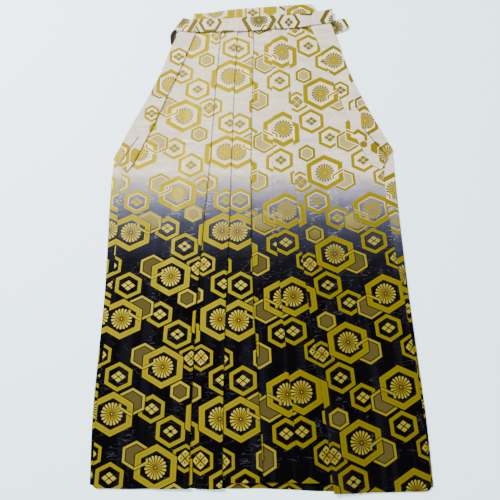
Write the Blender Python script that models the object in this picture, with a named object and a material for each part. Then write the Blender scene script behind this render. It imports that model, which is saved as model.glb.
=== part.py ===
"""Hakama trousers laid flat on their back, front side up.

The garment lies on z = 0 with the waist towards +Y and the hem towards -Y. X runs from the wearer's
right to the wearer's left, as seen from above. Every cloth piece is a thin wall. A piece's middle line is
worked out across the garment at a row of stations, and the wall is the middle line moved out to each side.
"""

import math

import bmesh
import bpy
import numpy as np

MM = 0.001                # sizes below are in millimetres

# Cloth
WALL = 1.0                # thickness of one layer of brocade
GAP = 0.3                 # clear space between layers and at seams
PITCH = WALL + GAP        # from the middle of one layer to the middle of the next
UNDERLAP = 0.85           # depth of a pleat, as a share of the width of the panel over it
RAMP = 25.0               # run over which a side panel climbs from the floor to the pleats
RAMP_CLEAR = 4.0          # least flat cloth left beside the seam
SEAM_FLAT = 12.0          # how far in from the seam a hem's corner is rounded
SAG = 0.9                 # how far the lowest panel sinks between its two neighbours
U_STEPS = 3               # straight steps in the half circle of a fold
TURN = (PITCH + WALL) / 2 # how far a fold's outer face stands from the centre of its half circle

# Heights of the middle of a layer
BACK_Z = WALL / 2
FRONT_Z = BACK_Z + PITCH
FOLD_Z = FRONT_Z + 2 * PITCH * (1 + UNDERLAP)

# Waist
BOARD_THICK = 2.5
BOARD_LIFT = BOARD_THICK + GAP + WALL / 2 - FRONT_Z
LIFT_FULL = 6.0           # the fronts stand at full height to this far below the board
LIFT_NONE = 46.0          # and are back down at this distance
TIE_THICK = 2.0
UNDER_TIE = 24.0          # how far the fronts reach up under the band

# Stations down the garment, as shares of the length from the waist seam (0) to the hem (1)
STATIONS = (0.0, 0.05, 0.10, 0.17, 0.24, 0.30, 0.33, 0.36, 0.42, 0.52, 0.64, 0.76, 0.88, 1.0)
MORE_STATIONS = (0.025, 0.075, 0.27, 0.285, 0.345, 0.39, 0.47, 0.58, 0.70, 0.82)
LEAST_STEP = 0.004        # least distance between two stations

# One row for each line that runs down the garment: its x at each station
LINES = {
    "outline_right": (-156.0, -172.5, -185.5, -209.0, -236.0, -257.0, -265.0,
                      -267.0, -268.0, -266.5, -265.5, -268.5, -270.5, -267.0),
    "seam_right": (-152.5, -169.0, -182.0, -205.5, -232.5, -253.5, -258.0,
                   -250.0, -252.5, -251.0, -254.0, -261.0, -265.0, -263.0),
    "slant_right": (-123.0, -137.0, -151.5, -174.0, -195.5, -216.5, -226.5,
                    -236.0, -240.0, -240.0, -240.0, -240.0, -240.0, -240.0),
    "second_right": (-154.0, -170.5, -183.5, -205.5, -224.5, -241.0, -251.0,
                     -258.0, -260.0, -260.0, -260.0, -260.0, -260.0, -260.0),
    "pleat_2": (-73.5, -76.5, -79.5, -83.0, -86.0, -88.5, -89.5,
                -91.5, -95.0, -100.5, -106.5, -109.5, -111.0, -111.5),
    "pleat_3": (-41.0, -43.0, -45.0, -47.0, -48.5, -50.0, -50.5,
                -51.0, -52.0, -54.0, -57.0, -59.0, -59.5, -59.5),
    "centre": (-9.5, -10.0, -11.0, -12.5, -13.5, -14.2, -14.5,
               -14.5, -14.5, -14.0, -11.0, -5.5, -0.5, 4.5),
    "pleat_5": (26.0, 25.8, 25.8, 26.0, 26.0, 26.0, 26.0,
                26.0, 27.0, 30.0, 36.5, 44.5, 53.5, 61.5),
    "pleat_6": (56.5, 58.5, 60.0, 61.5, 62.5, 63.5, 64.0,
                64.5, 67.0, 73.0, 82.5, 95.5, 106.0, 114.0),
    "second_left": (142.0, 153.5, 164.0, 180.5, 199.0, 221.0, 234.0,
                    239.0, 240.0, 240.0, 240.0, 240.0, 240.0, 240.0),
    "slant_left": (103.0, 118.5, 131.0, 150.0, 169.0, 187.0, 202.5,
                   217.0, 220.0, 220.0, 220.0, 220.0, 220.0, 220.0),
    "seam_left": (140.5, 152.5, 164.5, 185.5, 211.5, 235.0, 240.0,
                  230.5, 228.5, 235.0, 246.5, 257.0, 264.0, 267.5),
    "outline_left": (144.0, 156.0, 168.0, 189.0, 215.0, 239.0, 246.5,
                     247.5, 248.5, 251.5, 256.0, 262.0, 268.0, 270.4),
}

# The waist seam across the fronts: x, y
WAIST_SEAM = ((-165.0, 381.5), (-96.0, 379.5), (-16.0, 381.5), (23.0, 385.5), (82.0, 389.5),
              (109.0, 397.0), (144.0, 401.0))

# Y of each layer's hem
HEM_RIGHT = -443.5        # right side panel and most of the panel beside it
HEM_NOTCH = -439.5        # strip beside the right side panel, turned up a little more
HEM_MIDDLE = -434.5       # the middle panels, which hang a little short
HEM_LEFT = -450.5         # left side panel, at its fold
HEM_LEFT_SEAM = -447.0    # left side panel, at its seam
HEM_CORNER = 6.0          # how far a hem is rounded up at the seam
HEM_CORNER_PARTS = ((0.0, 1.0), (1 / 3, 0.25), (1.0, 0.0))   # share of the way in, share of the rounding
HEM_STEP = (0.50, 0.46)   # shares of a panel's width between which its hem steps down
QUARTERS = (0.25, 0.5, 0.75)
BACK_FIRST = {"right": 0.024, "left": 0.033}   # share of the length at the top of each back
BACK_RISE = 12.0          # how far in from the outline a back's hem starts to rise
HEM_BACK = ((-250.0, -443.0), (0.0, -443.5), (114.0, -447.5), (250.0, -446.0))

# A soft crease right across, from putting the garment away folded: x, y along it
CREASE = ((-260.0, 141.0), (260.0, 158.0))
CREASE_HIGH = 0.6
CREASE_HALF = 15.0

# Ends of the slanting side strips, as shares of the length: at the outline, middle, slant and second line
STRIP_END_RIGHT = (0.328, 0.345, 0.338, 0.358, 0.342)
STRIP_END_LEFT = (0.320, 0.340, 0.350, 0.362, 0.337)
STRIP_EVEN = 0.30         # down to here the strips' stations are level with the fronts'
STRIP_LAST = 0.34         # nominal share of the strips' last station

# Foot of the board, where the backs are sewn to it: x, y
BOARD_FOOT = ((-165.0, 361.0), (150.0, 373.0))
# The rest of the board's outline, anticlockwise from the wearer's left: x, y
BOARD_TOP = ((125.0, 372.05), (119.5, 433.0), (106.5, 450.5), (36.0, 445.0), (-30.0, 440.0),
             (-62.0, 436.0), (-94.0, 430.0), (-129.0, 427.5), (-137.0, 362.07))
BOARD_EDGE = 0.8          # bevel round the board

# Band over the fronts: x, y of its lower edge, y of its upper edge, height of its underside
BAND = (
    (-157.0, 385.4, 412.5, 6.9),
    (-135.0, 380.3, 409.2, 6.9),
    (-108.0, 379.6, 409.5, 7.4),
    (-92.0, 379.5, 409.5, 8.9),
    (-60.0, 379.5, 409.0, 8.9),
    (-16.0, 381.5, 413.5, 8.9),
    (25.0, 385.5, 416.5, 8.9),
    (60.0, 387.5, 418.0, 8.9),
    (86.0, 390.0, 420.5, 8.9),
    (104.0, 395.5, 425.0, 7.4),
    (120.0, 398.0, 427.5, 6.9),
    (147.0, 402.0, 433.5, 6.9),
)
BAND_SLANT = 9.0          # how far the corners of the turned end stand to each side
BAND_EDGE = 0.7           # rounding of the band's edges

# Loop of the tie under its slanted turn: y, x of its middle, radius, height of its middle
TIE_TURN = ((388.0, -161.5, 1.6, 4.85), (378.0, -165.5, 3.4, 4.2), (371.0, -166.5, 4.0, 4.5),
            (364.0, -167.5, 3.2, 3.7), (359.0, -168.3, 1.6, 2.1))
TURN_FROM = math.radians(-80.0)
TURN_TO = math.radians(-235.0)
TURN_STEPS = 8

# Rear ties: x, y of the lower edge, y of the upper edge, height of the underside
REAR_TIE_LEFT = ((126.5, 374.5, 404.0, 0.0), (141.0, 376.5, 410.0, 0.0), (151.0, 379.5, 412.6, 0.1),
                 (162.0, 383.8, 415.2, 0.5), (171.5, 388.0, 415.4, 1.2), (178.7, 395.0, 399.5, 2.0))
REAR_TIE_RIGHT = ((-152.0, 368.0, 398.0, 0.0), (-145.0, 365.5, 399.0, 0.0), (-138.5, 363.5, 400.0, 0.0))

# Finishes: base colour, roughness
BROCADE_FRONT = ((0.30, 0.27, 0.22), 0.45)
BROCADE_BACK = ((0.20, 0.18, 0.17), 0.45)
BROCADE_SIDE = ((0.66, 0.62, 0.50), 0.45)
TIE_CLOTH = ((0.66, 0.60, 0.44), 0.5)
TIE_INSIDE = ((0.10, 0.07, 0.03), 0.7)
BOARD_CLOTH = ((0.62, 0.53, 0.22), 0.5)


def table_value(table, x, column=1):
    """Straight line between the rows of a table whose first column is x."""
    rows = np.array(table)
    return np.interp(x, rows[:, 0], rows[:, column])


def ease(t):
    """Soft step from 0 to 1."""
    t = np.clip(t, 0.0, 1.0)
    return t * t * (3 - 2 * t)


def line_x(name, share):
    """X of a line at a share of the length: a cubic between stations, straight on above the seam."""
    knots = np.array(STATIONS)
    values = np.array(LINES[name])
    slopes = np.gradient(values, knots)
    cell = int(np.clip(np.searchsorted(knots, share, side="right") - 1, 0, len(knots) - 2))
    step = knots[cell + 1] - knots[cell]
    u = max((share - knots[cell]) / step, 0.0)
    value = ((2 * u**3 - 3 * u**2 + 1) * values[cell] + (u**3 - 2 * u**2 + u) * step * slopes[cell]
             + (3 * u**2 - 2 * u**3) * values[cell + 1] + (u**3 - u**2) * step * slopes[cell + 1])
    return float(value + min(share, 0.0) * slopes[0])


def lift(x, y):
    """How far the fronts stand up at a place: over the board at the waist, and at the soft crease."""
    below_board = table_value(BOARD_FOOT, x) - y
    over_board = BOARD_LIFT * (1 - ease((below_board - LIFT_FULL) / (LIFT_NONE - LIFT_FULL)))
    from_crease = np.abs(table_value(CREASE, x) - y)
    return over_board + CREASE_HIGH * ease(1 - from_crease / CREASE_HALF)


def lengthwise_shares(first):
    """All the stations from the first share to the hem."""
    later = [s for s in STATIONS + MORE_STATIONS if s > first + LEAST_STEP]
    return [first] + sorted(later)


def place_rows(rows, shares):
    """Turns rows of (x, z, hem y), one at each share, into points.

    A point's y runs in equal shares from the waist seam, at the x that its lengthwise line has there,
    to its own hem. Its height gains the lift at its place.
    """
    table = np.array(rows)
    at_seam = table[int(np.argmin(np.abs(np.array(shares))))]
    top = table_value(WAIST_SEAM, at_seam[:, 0])
    share = np.array(shares)[:, None]
    x = table[:, :, 0]
    y = top + (table[:, :, 2] - top) * share
    return np.stack([x, y, table[:, :, 1] + lift(x, y)], axis=2)


def layer_z(q, width, layer):
    """Height of a pleat's layer at a distance q back from its fold: 0 over, 1 return, 2 under."""
    return FOLD_Z - 2 * PITCH * q / width - layer * PITCH


def climb_run(fold, seam, lap):
    """Width over which a side panel climbs; it ends a little way in from the seam."""
    return min(RAMP, abs(fold - seam) - lap - RAMP_CLEAR)


def side_panel_z(x, fold, width, seam):
    """Height of a wide side panel at x: low beside the seam, then up to its fold."""
    q = abs(fold - x)
    lap = UNDERLAP * width
    if q <= lap:
        return layer_z(q, width, 0)
    run = climb_run(fold, seam, lap)
    return float(FRONT_Z + (layer_z(lap, width, 0) - FRONT_Z) * (1 - ease((q - lap) / run)))


def fold_turn(face, z_from, z_to, way):
    """Half circle of a fold whose outer face stands at x = face: points from one layer to the next."""
    radius = abs(z_to - z_from) / 2
    middle = (z_from + z_to) / 2
    centre = face - way * (radius + WALL / 2)
    angles = [math.pi * k / U_STEPS for k in range(U_STEPS + 1)]
    return [(centre + way * radius * math.sin(a), middle + (z_from - middle) * math.cos(a)) for a in angles]


def pleat(inward, fold, width, hem, next_hem):
    """From a panel round its fold, back under it, and round again to the next panel under the fold."""
    lap = UNDERLAP * width
    turn_in = fold_turn(fold, layer_z(TURN, width, 0), layer_z(TURN, width, 1), inward)
    turn_out = fold_turn(fold - inward * lap, layer_z(lap - TURN, width, 1),
                         layer_z(lap - TURN, width, 2), -inward)
    middle = fold - inward * lap / 2
    row = [(x, z, hem) for x, z in turn_in]
    row.append((middle, layer_z(lap / 2, width, 1), (hem + next_hem) / 2))
    row += [(x, z, next_hem) for x, z in turn_out]
    row.append((middle, layer_z(lap / 2, width, 2), next_hem))
    row.append((fold, layer_z(0.0, width, 2), next_hem))
    return row


def side_panel(inward, seam, fold, width, hem_seam, hem_fold):
    """The wide side panel, from its side seam to just before its fold."""
    lap = UNDERLAP * width
    run = climb_run(fold, seam, lap)
    flat = min(SEAM_FLAT, abs(fold - seam) - lap - run - 1.0)
    row = [(seam + inward * flat * part, FRONT_Z, hem_seam + HEM_CORNER * rounding)
           for part, rounding in HEM_CORNER_PARTS]
    for q in (lap + run, lap + run * 2 / 3, lap + run / 3, lap, lap / 2):
        row.append((fold - inward * q, side_panel_z(fold - inward * q, fold, width, seam), hem_fold))
    return row


def right_front_row(share):
    """Middle line of the right front: side panel, two narrow panels and the centre fold with its return."""
    seam, first, second, last = (line_x(n, share) for n in ("seam_right", "pleat_2", "pleat_3", "centre"))
    width = second - first
    row = side_panel(1, seam, first, width, HEM_RIGHT, HEM_RIGHT)
    row += pleat(1, first, width, HEM_RIGHT, HEM_NOTCH)
    for back, hem in zip(HEM_STEP, (HEM_NOTCH, HEM_RIGHT)):
        row.append((second - width * back, layer_z(width * back, width, 0), hem))
    row += pleat(1, second, width, HEM_RIGHT, HEM_MIDDLE)
    width = last - second
    row.append((second + width / 2, layer_z(width / 2, width, 0), HEM_MIDDLE))
    row += [(x, z, HEM_MIDDLE) for x, z in
            fold_turn(last, layer_z(TURN, width, 0), layer_z(TURN, width, 1), 1)]
    for q in (UNDERLAP * width / 2, UNDERLAP * width):
        row.append((last - q, layer_z(q, width, 1), HEM_MIDDLE))
    return row


def left_front_row(share):
    """Middle line of the left front: side panel, a narrow panel, the lowest panel under the centre fold."""
    seam, first, second, last, beyond = (
        line_x(n, share) for n in ("seam_left", "pleat_6", "pleat_5", "centre", "pleat_3"))
    width = first - second
    row = side_panel(-1, seam, first, width, HEM_LEFT_SEAM, HEM_LEFT)
    row += pleat(-1, first, width, HEM_LEFT, HEM_MIDDLE)
    row.append((first - width / 2, layer_z(width / 2, width, 0), HEM_MIDDLE))
    row += pleat(-1, second, width, HEM_MIDDLE, HEM_MIDDLE)
    low = FOLD_Z - 2 * PITCH
    for part in QUARTERS:
        row.append((second + (last - second) * part, low - SAG * math.sin(math.pi * part), HEM_MIDDLE))
    width = last - beyond
    for q in (0.0, UNDERLAP * width / 2, UNDERLAP * width):
        row.append((last - q, layer_z(q, width, 2), HEM_MIDDLE))
    return row


def share_under_tie():
    """The share of the length, less than 0, that the fronts reach up under the band."""
    return float(-UNDER_TIE / (table_value(WAIST_SEAM, 0.0) - HEM_RIGHT))


def front_leg(name, row_at):
    """A pleated front as one wall, from under the band to the hem."""
    shares = [share_under_tie()] + lengthwise_shares(0.0)
    middle = place_rows([row_at(s) for s in shares], shares)
    return wall_from_middle(name, middle, WALL, BROCADE_FRONT)


def back_leg(name, way):
    """A back, flat on the floor from the centre seam, turned up at the side as far as the side seam."""
    side = "right" if way < 0 else "left"
    hem_side = (HEM_RIGHT if way < 0 else HEM_LEFT_SEAM) + HEM_CORNER
    rows = []
    shares = lengthwise_shares(BACK_FIRST[side])
    for share in shares:
        outline = line_x("outline_" + side, share)
        seam = line_x("seam_" + side, share)
        flat = [way * GAP / 2 + (outline - way * TURN) * part for part in (0.0, *QUARTERS)]
        row = [(x, BACK_Z, float(table_value(HEM_BACK, x))) for x in flat]
        near = outline - way * BACK_RISE
        row.append((near, BACK_Z, float(table_value(HEM_BACK, near))))
        row += [(x, z, hem_side) for x, z in fold_turn(outline, BACK_Z, FRONT_Z, way)]
        row.append((seam + way * GAP, FRONT_Z, hem_side))
        rows.append(row)
    middle = place_rows(rows, shares)
    turned = middle[:, :, 2] > FRONT_Z - 0.01
    middle[:, :, 2] = np.where(turned, middle[:, :, 2], np.array(rows)[:, :, 1])
    middle[0, :, 1] = table_value(BOARD_FOOT, middle[0, :, 0]) - GAP
    return wall_from_middle(name, middle, WALL, BROCADE_BACK)


def side_pleat(name, way):
    """The slanting strip on a side panel: in from the outline, round its slanted fold, and back again."""
    side = "right" if way < 0 else "left"
    fold_line, next_line = ("pleat_2", "pleat_3") if way < 0 else ("pleat_6", "pleat_5")
    ends = STRIP_END_RIGHT if way < 0 else STRIP_END_LEFT
    hem = HEM_RIGHT if way < 0 else HEM_LEFT
    shares = [share_under_tie(), 0.0] + [s for s in lengthwise_shares(0.0)[1:] if s <= STRIP_EVEN]
    shares += [(STRIP_EVEN + STRIP_LAST) / 2, STRIP_LAST]
    rows = []
    for share in shares:
        outline, slant, second = (line_x(n + side, share) for n in ("outline_", "slant_", "second_"))
        first, following = line_x(fold_line, share), line_x(next_line, share)
        seam = line_x("seam_" + side, share)
        width = abs(first - following)
        under = [(outline, ends[0]), ((outline + slant) / 2, ends[1])]
        over = [((second + slant) / 2, ends[3]), (second, ends[4])]
        row = []
        for x, end in under:
            row.append((x, side_panel_z(x, first, width, seam) + PITCH, end))
        edge = slant + way * TURN
        low = side_panel_z(edge, first, width, seam) + PITCH
        row += [(x, z, ends[2]) for x, z in fold_turn(slant, low, low + PITCH, -way)]
        for x, end in over:
            row.append((x, side_panel_z(x, first, width, seam) + 2 * PITCH, end))
        rows.append(row)
    table = np.array(rows)
    share = np.array(shares)[:, None]
    late = np.clip((share - STRIP_EVEN) / (STRIP_LAST - STRIP_EVEN), 0.0, 1.0)
    share = np.where(share > STRIP_EVEN, STRIP_EVEN + (table[:, :, 2] - STRIP_EVEN) * late, share)
    top = table_value(WAIST_SEAM, table[1, :, 0])
    y = top + (hem - top) * share
    middle = np.stack([table[:, :, 0], y, table[:, :, 1] + lift(table[:, :, 0], y)], axis=2)
    return wall_from_middle(name, middle, WALL, BROCADE_SIDE)


def wall_from_middle(name, middle, thickness, finish):
    """A closed wall round a middle surface (stations, points across, 3), moved out to each side.

    At each point the wall is moved square to the middle line in the upright plane of its station. At a
    bend it is moved further, by one over the cosine of half the bend, so the wall keeps its thickness.
    """
    step = np.diff(middle[:, :, [0, 2]], axis=1)
    step /= np.linalg.norm(step, axis=2, keepdims=True)
    before = np.concatenate([step[:, :1], step], axis=1)
    after = np.concatenate([step, step[:, -1:]], axis=1)
    tangent = before + after
    tangent /= np.linalg.norm(tangent, axis=2, keepdims=True)
    square = np.stack([-tangent[:, :, 1], tangent[:, :, 0]], axis=2)
    reach = 1 / np.sum(tangent * after, axis=2, keepdims=True)
    shift = np.zeros_like(middle)
    shift[:, :, [0, 2]] = square * reach * thickness / 2
    return shell_between(name, middle + shift, middle - shift, finish)


def shell_between(name, upper, lower, finish):
    """A closed solid between two grids of points of the same shape (rows, columns, 3)."""
    rows, columns = upper.shape[:2]
    points = np.concatenate([upper.reshape(-1, 3), lower.reshape(-1, 3)]) * MM
    index = np.arange(rows * columns).reshape(rows, columns)
    other = index + rows * columns
    faces = []
    for grid, flip in ((index, False), (other, True)):
        quads = np.stack([grid[:-1, :-1], grid[1:, :-1], grid[1:, 1:], grid[:-1, 1:]], axis=2).reshape(-1, 4)
        faces += (quads[:, ::-1] if flip else quads).tolist()
    for edge, far, flip in ((index[0], other[0], False), (index[-1], other[-1], True),
                            (index[:, 0], other[:, 0], True), (index[:, -1], other[:, -1], False)):
        quads = np.stack([edge[:-1], edge[1:], far[1:], far[:-1]], axis=1)
        faces += (quads[:, ::-1] if flip else quads).tolist()
    return add_piece(name, points.tolist(), faces, finish)


def add_piece(name, points, faces, finish):
    """Makes the object for a piece, with its faces turned outwards and cut into triangles."""
    mesh = bpy.data.meshes.new(name)
    mesh.from_pydata(points, [], faces)
    work = bmesh.new()
    work.from_mesh(mesh)
    bmesh.ops.recalc_face_normals(work, faces=work.faces)
    bmesh.ops.triangulate(work, faces=work.faces)
    work.to_mesh(mesh)
    work.free()
    mesh.materials.append(material(name + "_cloth", *finish))
    piece = bpy.data.objects.new(name, mesh)
    bpy.context.scene.collection.objects.link(piece)
    return piece


def material(name, colour, roughness):
    """A plain Principled material."""
    made = bpy.data.materials.new(name)
    made.use_nodes = True
    shader = made.node_tree.nodes["Principled BSDF"]
    shader.inputs["Base Color"].default_value = (*colour, 1.0)
    shader.inputs["Roughness"].default_value = roughness
    shader.inputs["Metallic"].default_value = 0.0
    return made


def strip(name, table, thickness, edge, slants, finish):
    """A flat folded strip with softened long edges.

    Each row of the table gives x, y of both edges and the height of the underside; slants move the
    corners of the first and last rows along x. The section is a rectangle with its corners cut.
    """
    rows = []
    for i, (x, low, high, under) in enumerate(table):
        slant = slants[0] if i == 0 else slants[1] if i == len(table) - 1 else 0.0
        across = ((0.0, edge), (edge, 0.0), (high - low - edge, 0.0), (high - low, edge),
                  (high - low, thickness - edge), (high - low - edge, thickness), (edge, thickness),
                  (0.0, thickness - edge))
        rows.append([(x + slant * (2 * a / (high - low) - 1), low + a, under + z) for a, z in across])
    points = np.array(rows) * MM
    count = points.shape[1]
    index = np.arange(points.shape[0] * count).reshape(-1, count)
    turned = np.roll(index, -1, axis=1)
    faces = np.stack([index[:-1], turned[:-1], turned[1:], index[1:]], axis=2).reshape(-1, 4).tolist()
    faces += [index[0][::-1].tolist(), index[-1].tolist()]
    return add_piece(name, points.reshape(-1, 3).tolist(), faces, finish)


def back_board():
    """The stiff board at the back waist: its outline, raised, with a bevelled rim."""
    outline = np.array(BOARD_TOP)
    middle = outline.mean(axis=0)
    reach = np.linalg.norm(outline - middle, axis=1, keepdims=True)
    inner = outline + (middle - outline) / reach * BOARD_EDGE
    levels = ((inner, 0.0), (outline, BOARD_EDGE), (outline, BOARD_THICK - BOARD_EDGE), (inner, BOARD_THICK))
    points = np.concatenate([np.column_stack([ring, np.full(len(ring), z)]) for ring, z in levels]) * MM
    count = len(outline)
    index = np.arange(len(points)).reshape(-1, count)
    turned = np.roll(index, -1, axis=1)
    faces = np.stack([index[:-1], turned[:-1], turned[1:], index[1:]], axis=2).reshape(-1, 4).tolist()
    faces += [index[0][::-1].tolist(), index[-1].tolist()]
    return add_piece("back_board", points.tolist(), faces, BOARD_CLOTH)


def tie_turn():
    """The open loop of the front tie: an arc in the upright plane at each y, wider in the middle."""
    angles = np.linspace(TURN_FROM, TURN_TO, TURN_STEPS + 1)
    middle = np.array([[(x + r * math.cos(a), y, z + r * math.sin(a)) for a in angles]
                       for y, x, r, z in TIE_TURN])
    return wall_from_middle("front_tie_turn", middle, WALL, TIE_INSIDE)


def main():
    """Clears the scene and builds every piece of the garment."""
    for old in list(bpy.data.objects):
        bpy.data.objects.remove(old, do_unlink=True)
    back_leg("back_leg_right", -1)
    back_leg("back_leg_left", 1)
    front_leg("front_leg_right", right_front_row)
    front_leg("front_leg_left", left_front_row)
    side_pleat("side_pleat_right", -1)
    side_pleat("side_pleat_left", 1)
    back_board()
    strip("rear_tie_right", REAR_TIE_RIGHT, TIE_THICK, BAND_EDGE, (0.0, 0.0), BOARD_CLOTH)
    strip("rear_tie_left", REAR_TIE_LEFT, TIE_THICK, BAND_EDGE, (0.0, 0.0), BOARD_CLOTH)
    strip("front_tie", BAND, TIE_THICK, BAND_EDGE, (BAND_SLANT, 1.0), TIE_CLOTH)
    tie_turn()


main()
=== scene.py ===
"""Pleated brocade trousers laid flat on a pale floor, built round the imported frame.

Every piece of cloth is a closed thin shell in metres, in the frame's own axes: the waist towards +Y, the
hem towards -Y, z = 0 the floor. Each shell is made from a middle surface, a function of two parameters:
the share of the length from the waist seam (0) to the hem (1), and the place across the cloth.
"""

import logging
import math
from dataclasses import dataclass
from enum import Enum

import bpy
import numpy as np
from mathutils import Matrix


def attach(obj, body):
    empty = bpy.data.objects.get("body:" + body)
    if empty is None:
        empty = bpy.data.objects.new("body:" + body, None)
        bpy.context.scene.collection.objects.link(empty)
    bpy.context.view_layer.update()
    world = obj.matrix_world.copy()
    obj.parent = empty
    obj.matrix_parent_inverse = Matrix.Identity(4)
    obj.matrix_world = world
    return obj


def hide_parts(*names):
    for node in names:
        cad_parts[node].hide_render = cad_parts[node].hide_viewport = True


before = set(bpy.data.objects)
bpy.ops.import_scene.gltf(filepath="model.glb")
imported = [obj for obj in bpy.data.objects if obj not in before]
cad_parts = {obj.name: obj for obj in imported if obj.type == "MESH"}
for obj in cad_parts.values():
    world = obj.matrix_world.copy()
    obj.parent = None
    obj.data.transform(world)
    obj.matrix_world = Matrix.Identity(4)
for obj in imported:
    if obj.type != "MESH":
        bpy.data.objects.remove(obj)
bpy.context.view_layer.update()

LOG = logging.getLogger("trousers")

MM = 0.001
Colour = tuple[float, float, float]
Place = tuple[float, float]
Point = tuple[float, float, float]
Row = tuple[float, float, float, float]
Array = np.ndarray

SHEET = 0.8               # thickness of a layer of cloth, mm
PITCH = 1.3               # from one layer's middle to the next, mm
UNDERLAP = 0.85           # depth of a pleat as a share of the width of the panel over it
FLOOR_LAYER = 0.5         # height of the middle of the layer on the floor, mm
FRONT_LAYER = FLOOR_LAYER + PITCH                         # height of the middle of the layer over it, mm
FOLD_HEIGHT = FRONT_LAYER + 2 * PITCH * (1 + UNDERLAP)    # height of the middle of a panel at its fold, mm
TURN = (PITCH + SHEET) / 2                                # outer radius of a fold, mm
GAP = 0.3                 # clear distance between pieces, mm
WOVEN_STEP = 77.0         # from one large hexagon of the repeat to the next, across and along, mm
SLAB_FADE = 0.2           # how far above the fade the ties and the board count as lying, m
UV_NAME = "cloth"
FADE_NAME = "fade"


class Side(Enum):
    """The wearer's sides; the value is the direction of X away from the middle."""

    RIGHT = -1
    LEFT = 1


class Centre(Enum):
    """What fills a hexagon of the pattern."""

    DAISY = "daisy"
    PLAIN = "plain"
    FLOWER = "flower"
    DIAMOND = "diamond"
    LEAVES = "leaves"
    EMPTY = "empty"
    BLOCK = "block"
    BARE = "bare"


def ease(t: Array) -> Array:
    """Soft step: three t squared less two t cubed, with t kept from 0 to 1."""
    t = np.clip(t, 0.0, 1.0)
    return t * t * (3 - 2 * t)


def column(table: tuple[Place, ...], x: Array) -> Array:
    """Straight line between the places of a table."""
    rows = np.array(table)
    return np.interp(x, rows[:, 0], rows[:, 1])


@dataclass(frozen=True)
class Lines:
    """The lines that run down the garment, as x in mm at rows of stations.

    Args:
        knots: The stations, as shares of the length.
        rows: X of each named line at each station.
    """

    knots: tuple[float, ...]
    rows: dict[str, tuple[float, ...]]

    def x(self, name: str, share: Array) -> Array:
        """X of a line at many shares: a cubic between stations, straight on above the waist seam.

        Args:
            name: Which line.
            share: Shares of the length, any shape.

        Returns:
            X in mm, the same shape.
        """
        knots, values = np.array(self.knots), np.array(self.rows[name])
        slopes = np.gradient(values, knots)
        cell = np.clip(np.searchsorted(knots, share, side="right") - 1, 0, len(knots) - 2)
        step = knots[cell + 1] - knots[cell]
        u = np.maximum((share - knots[cell]) / step, 0.0)
        value = ((2 * u**3 - 3 * u**2 + 1) * values[cell] + (u**3 - 2 * u**2 + u) * step * slopes[cell]
                 + (3 * u**2 - 2 * u**3) * values[cell + 1] + (u**3 - u**2) * step * slopes[cell + 1])
        return value + np.minimum(share, 0.0) * slopes[0]


LINES = Lines(
    (0.0, 0.05, 0.10, 0.17, 0.24, 0.30, 0.33, 0.36, 0.42, 0.52, 0.64, 0.76, 0.88, 1.0),
    {
        "outline_right": (-156.0, -172.5, -185.5, -209.0, -236.0, -257.0, -265.0,
                          -267.0, -268.0, -266.5, -265.5, -268.5, -270.5, -267.0),
        "seam_right": (-152.5, -169.0, -182.0, -205.5, -232.5, -253.5, -258.0,
                       -250.0, -252.5, -251.0, -254.0, -261.0, -265.0, -263.0),
        "slant_right": (-123.0, -137.0, -151.5, -174.0, -195.5, -216.5, -226.5,
                        -236.0, -240.0, -240.0, -240.0, -240.0, -240.0, -240.0),
        "second_right": (-154.0, -170.5, -183.5, -205.5, -224.5, -241.0, -251.0,
                         -258.0, -260.0, -260.0, -260.0, -260.0, -260.0, -260.0),
        "pleat_2": (-73.5, -76.5, -79.5, -83.0, -86.0, -88.5, -89.5,
                    -91.5, -95.0, -100.5, -106.5, -109.5, -111.0, -111.5),
        "pleat_3": (-41.0, -43.0, -45.0, -47.0, -48.5, -50.0, -50.5,
                    -51.0, -52.0, -54.0, -57.0, -59.0, -59.5, -59.5),
        "centre": (-9.5, -10.0, -11.0, -12.5, -13.5, -14.2, -14.5,
                   -14.5, -14.5, -14.0, -11.0, -5.5, -0.5, 4.5),
        "pleat_5": (26.0, 25.8, 25.8, 26.0, 26.0, 26.0, 26.0,
                    26.0, 27.0, 30.0, 36.5, 44.5, 53.5, 61.5),
        "pleat_6": (56.5, 58.5, 60.0, 61.5, 62.5, 63.5, 64.0,
                    64.5, 67.0, 73.0, 82.5, 95.5, 106.0, 114.0),
        "second_left": (142.0, 153.5, 164.0, 180.5, 199.0, 221.0, 234.0,
                        239.0, 240.0, 240.0, 240.0, 240.0, 240.0, 240.0),
        "slant_left": (103.0, 118.5, 131.0, 150.0, 169.0, 187.0, 202.5,
                       217.0, 220.0, 220.0, 220.0, 220.0, 220.0, 220.0),
        "seam_left": (140.5, 152.5, 164.5, 185.5, 211.5, 235.0, 240.0,
                      230.5, 228.5, 235.0, 246.5, 257.0, 264.0, 267.5),
        "outline_left": (144.0, 156.0, 168.0, 189.0, 215.0, 239.0, 246.5,
                         247.5, 248.5, 251.5, 256.0, 262.0, 268.0, 270.4),
    },
)

WAIST_SEAM = ((-165.0, 381.5), (-96.0, 379.5), (-16.0, 381.5), (23.0, 385.5), (82.0, 389.5),
              (109.0, 397.0), (144.0, 401.0))
BOARD_FOOT = ((-165.0, 361.0), (150.0, 373.0))


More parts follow.
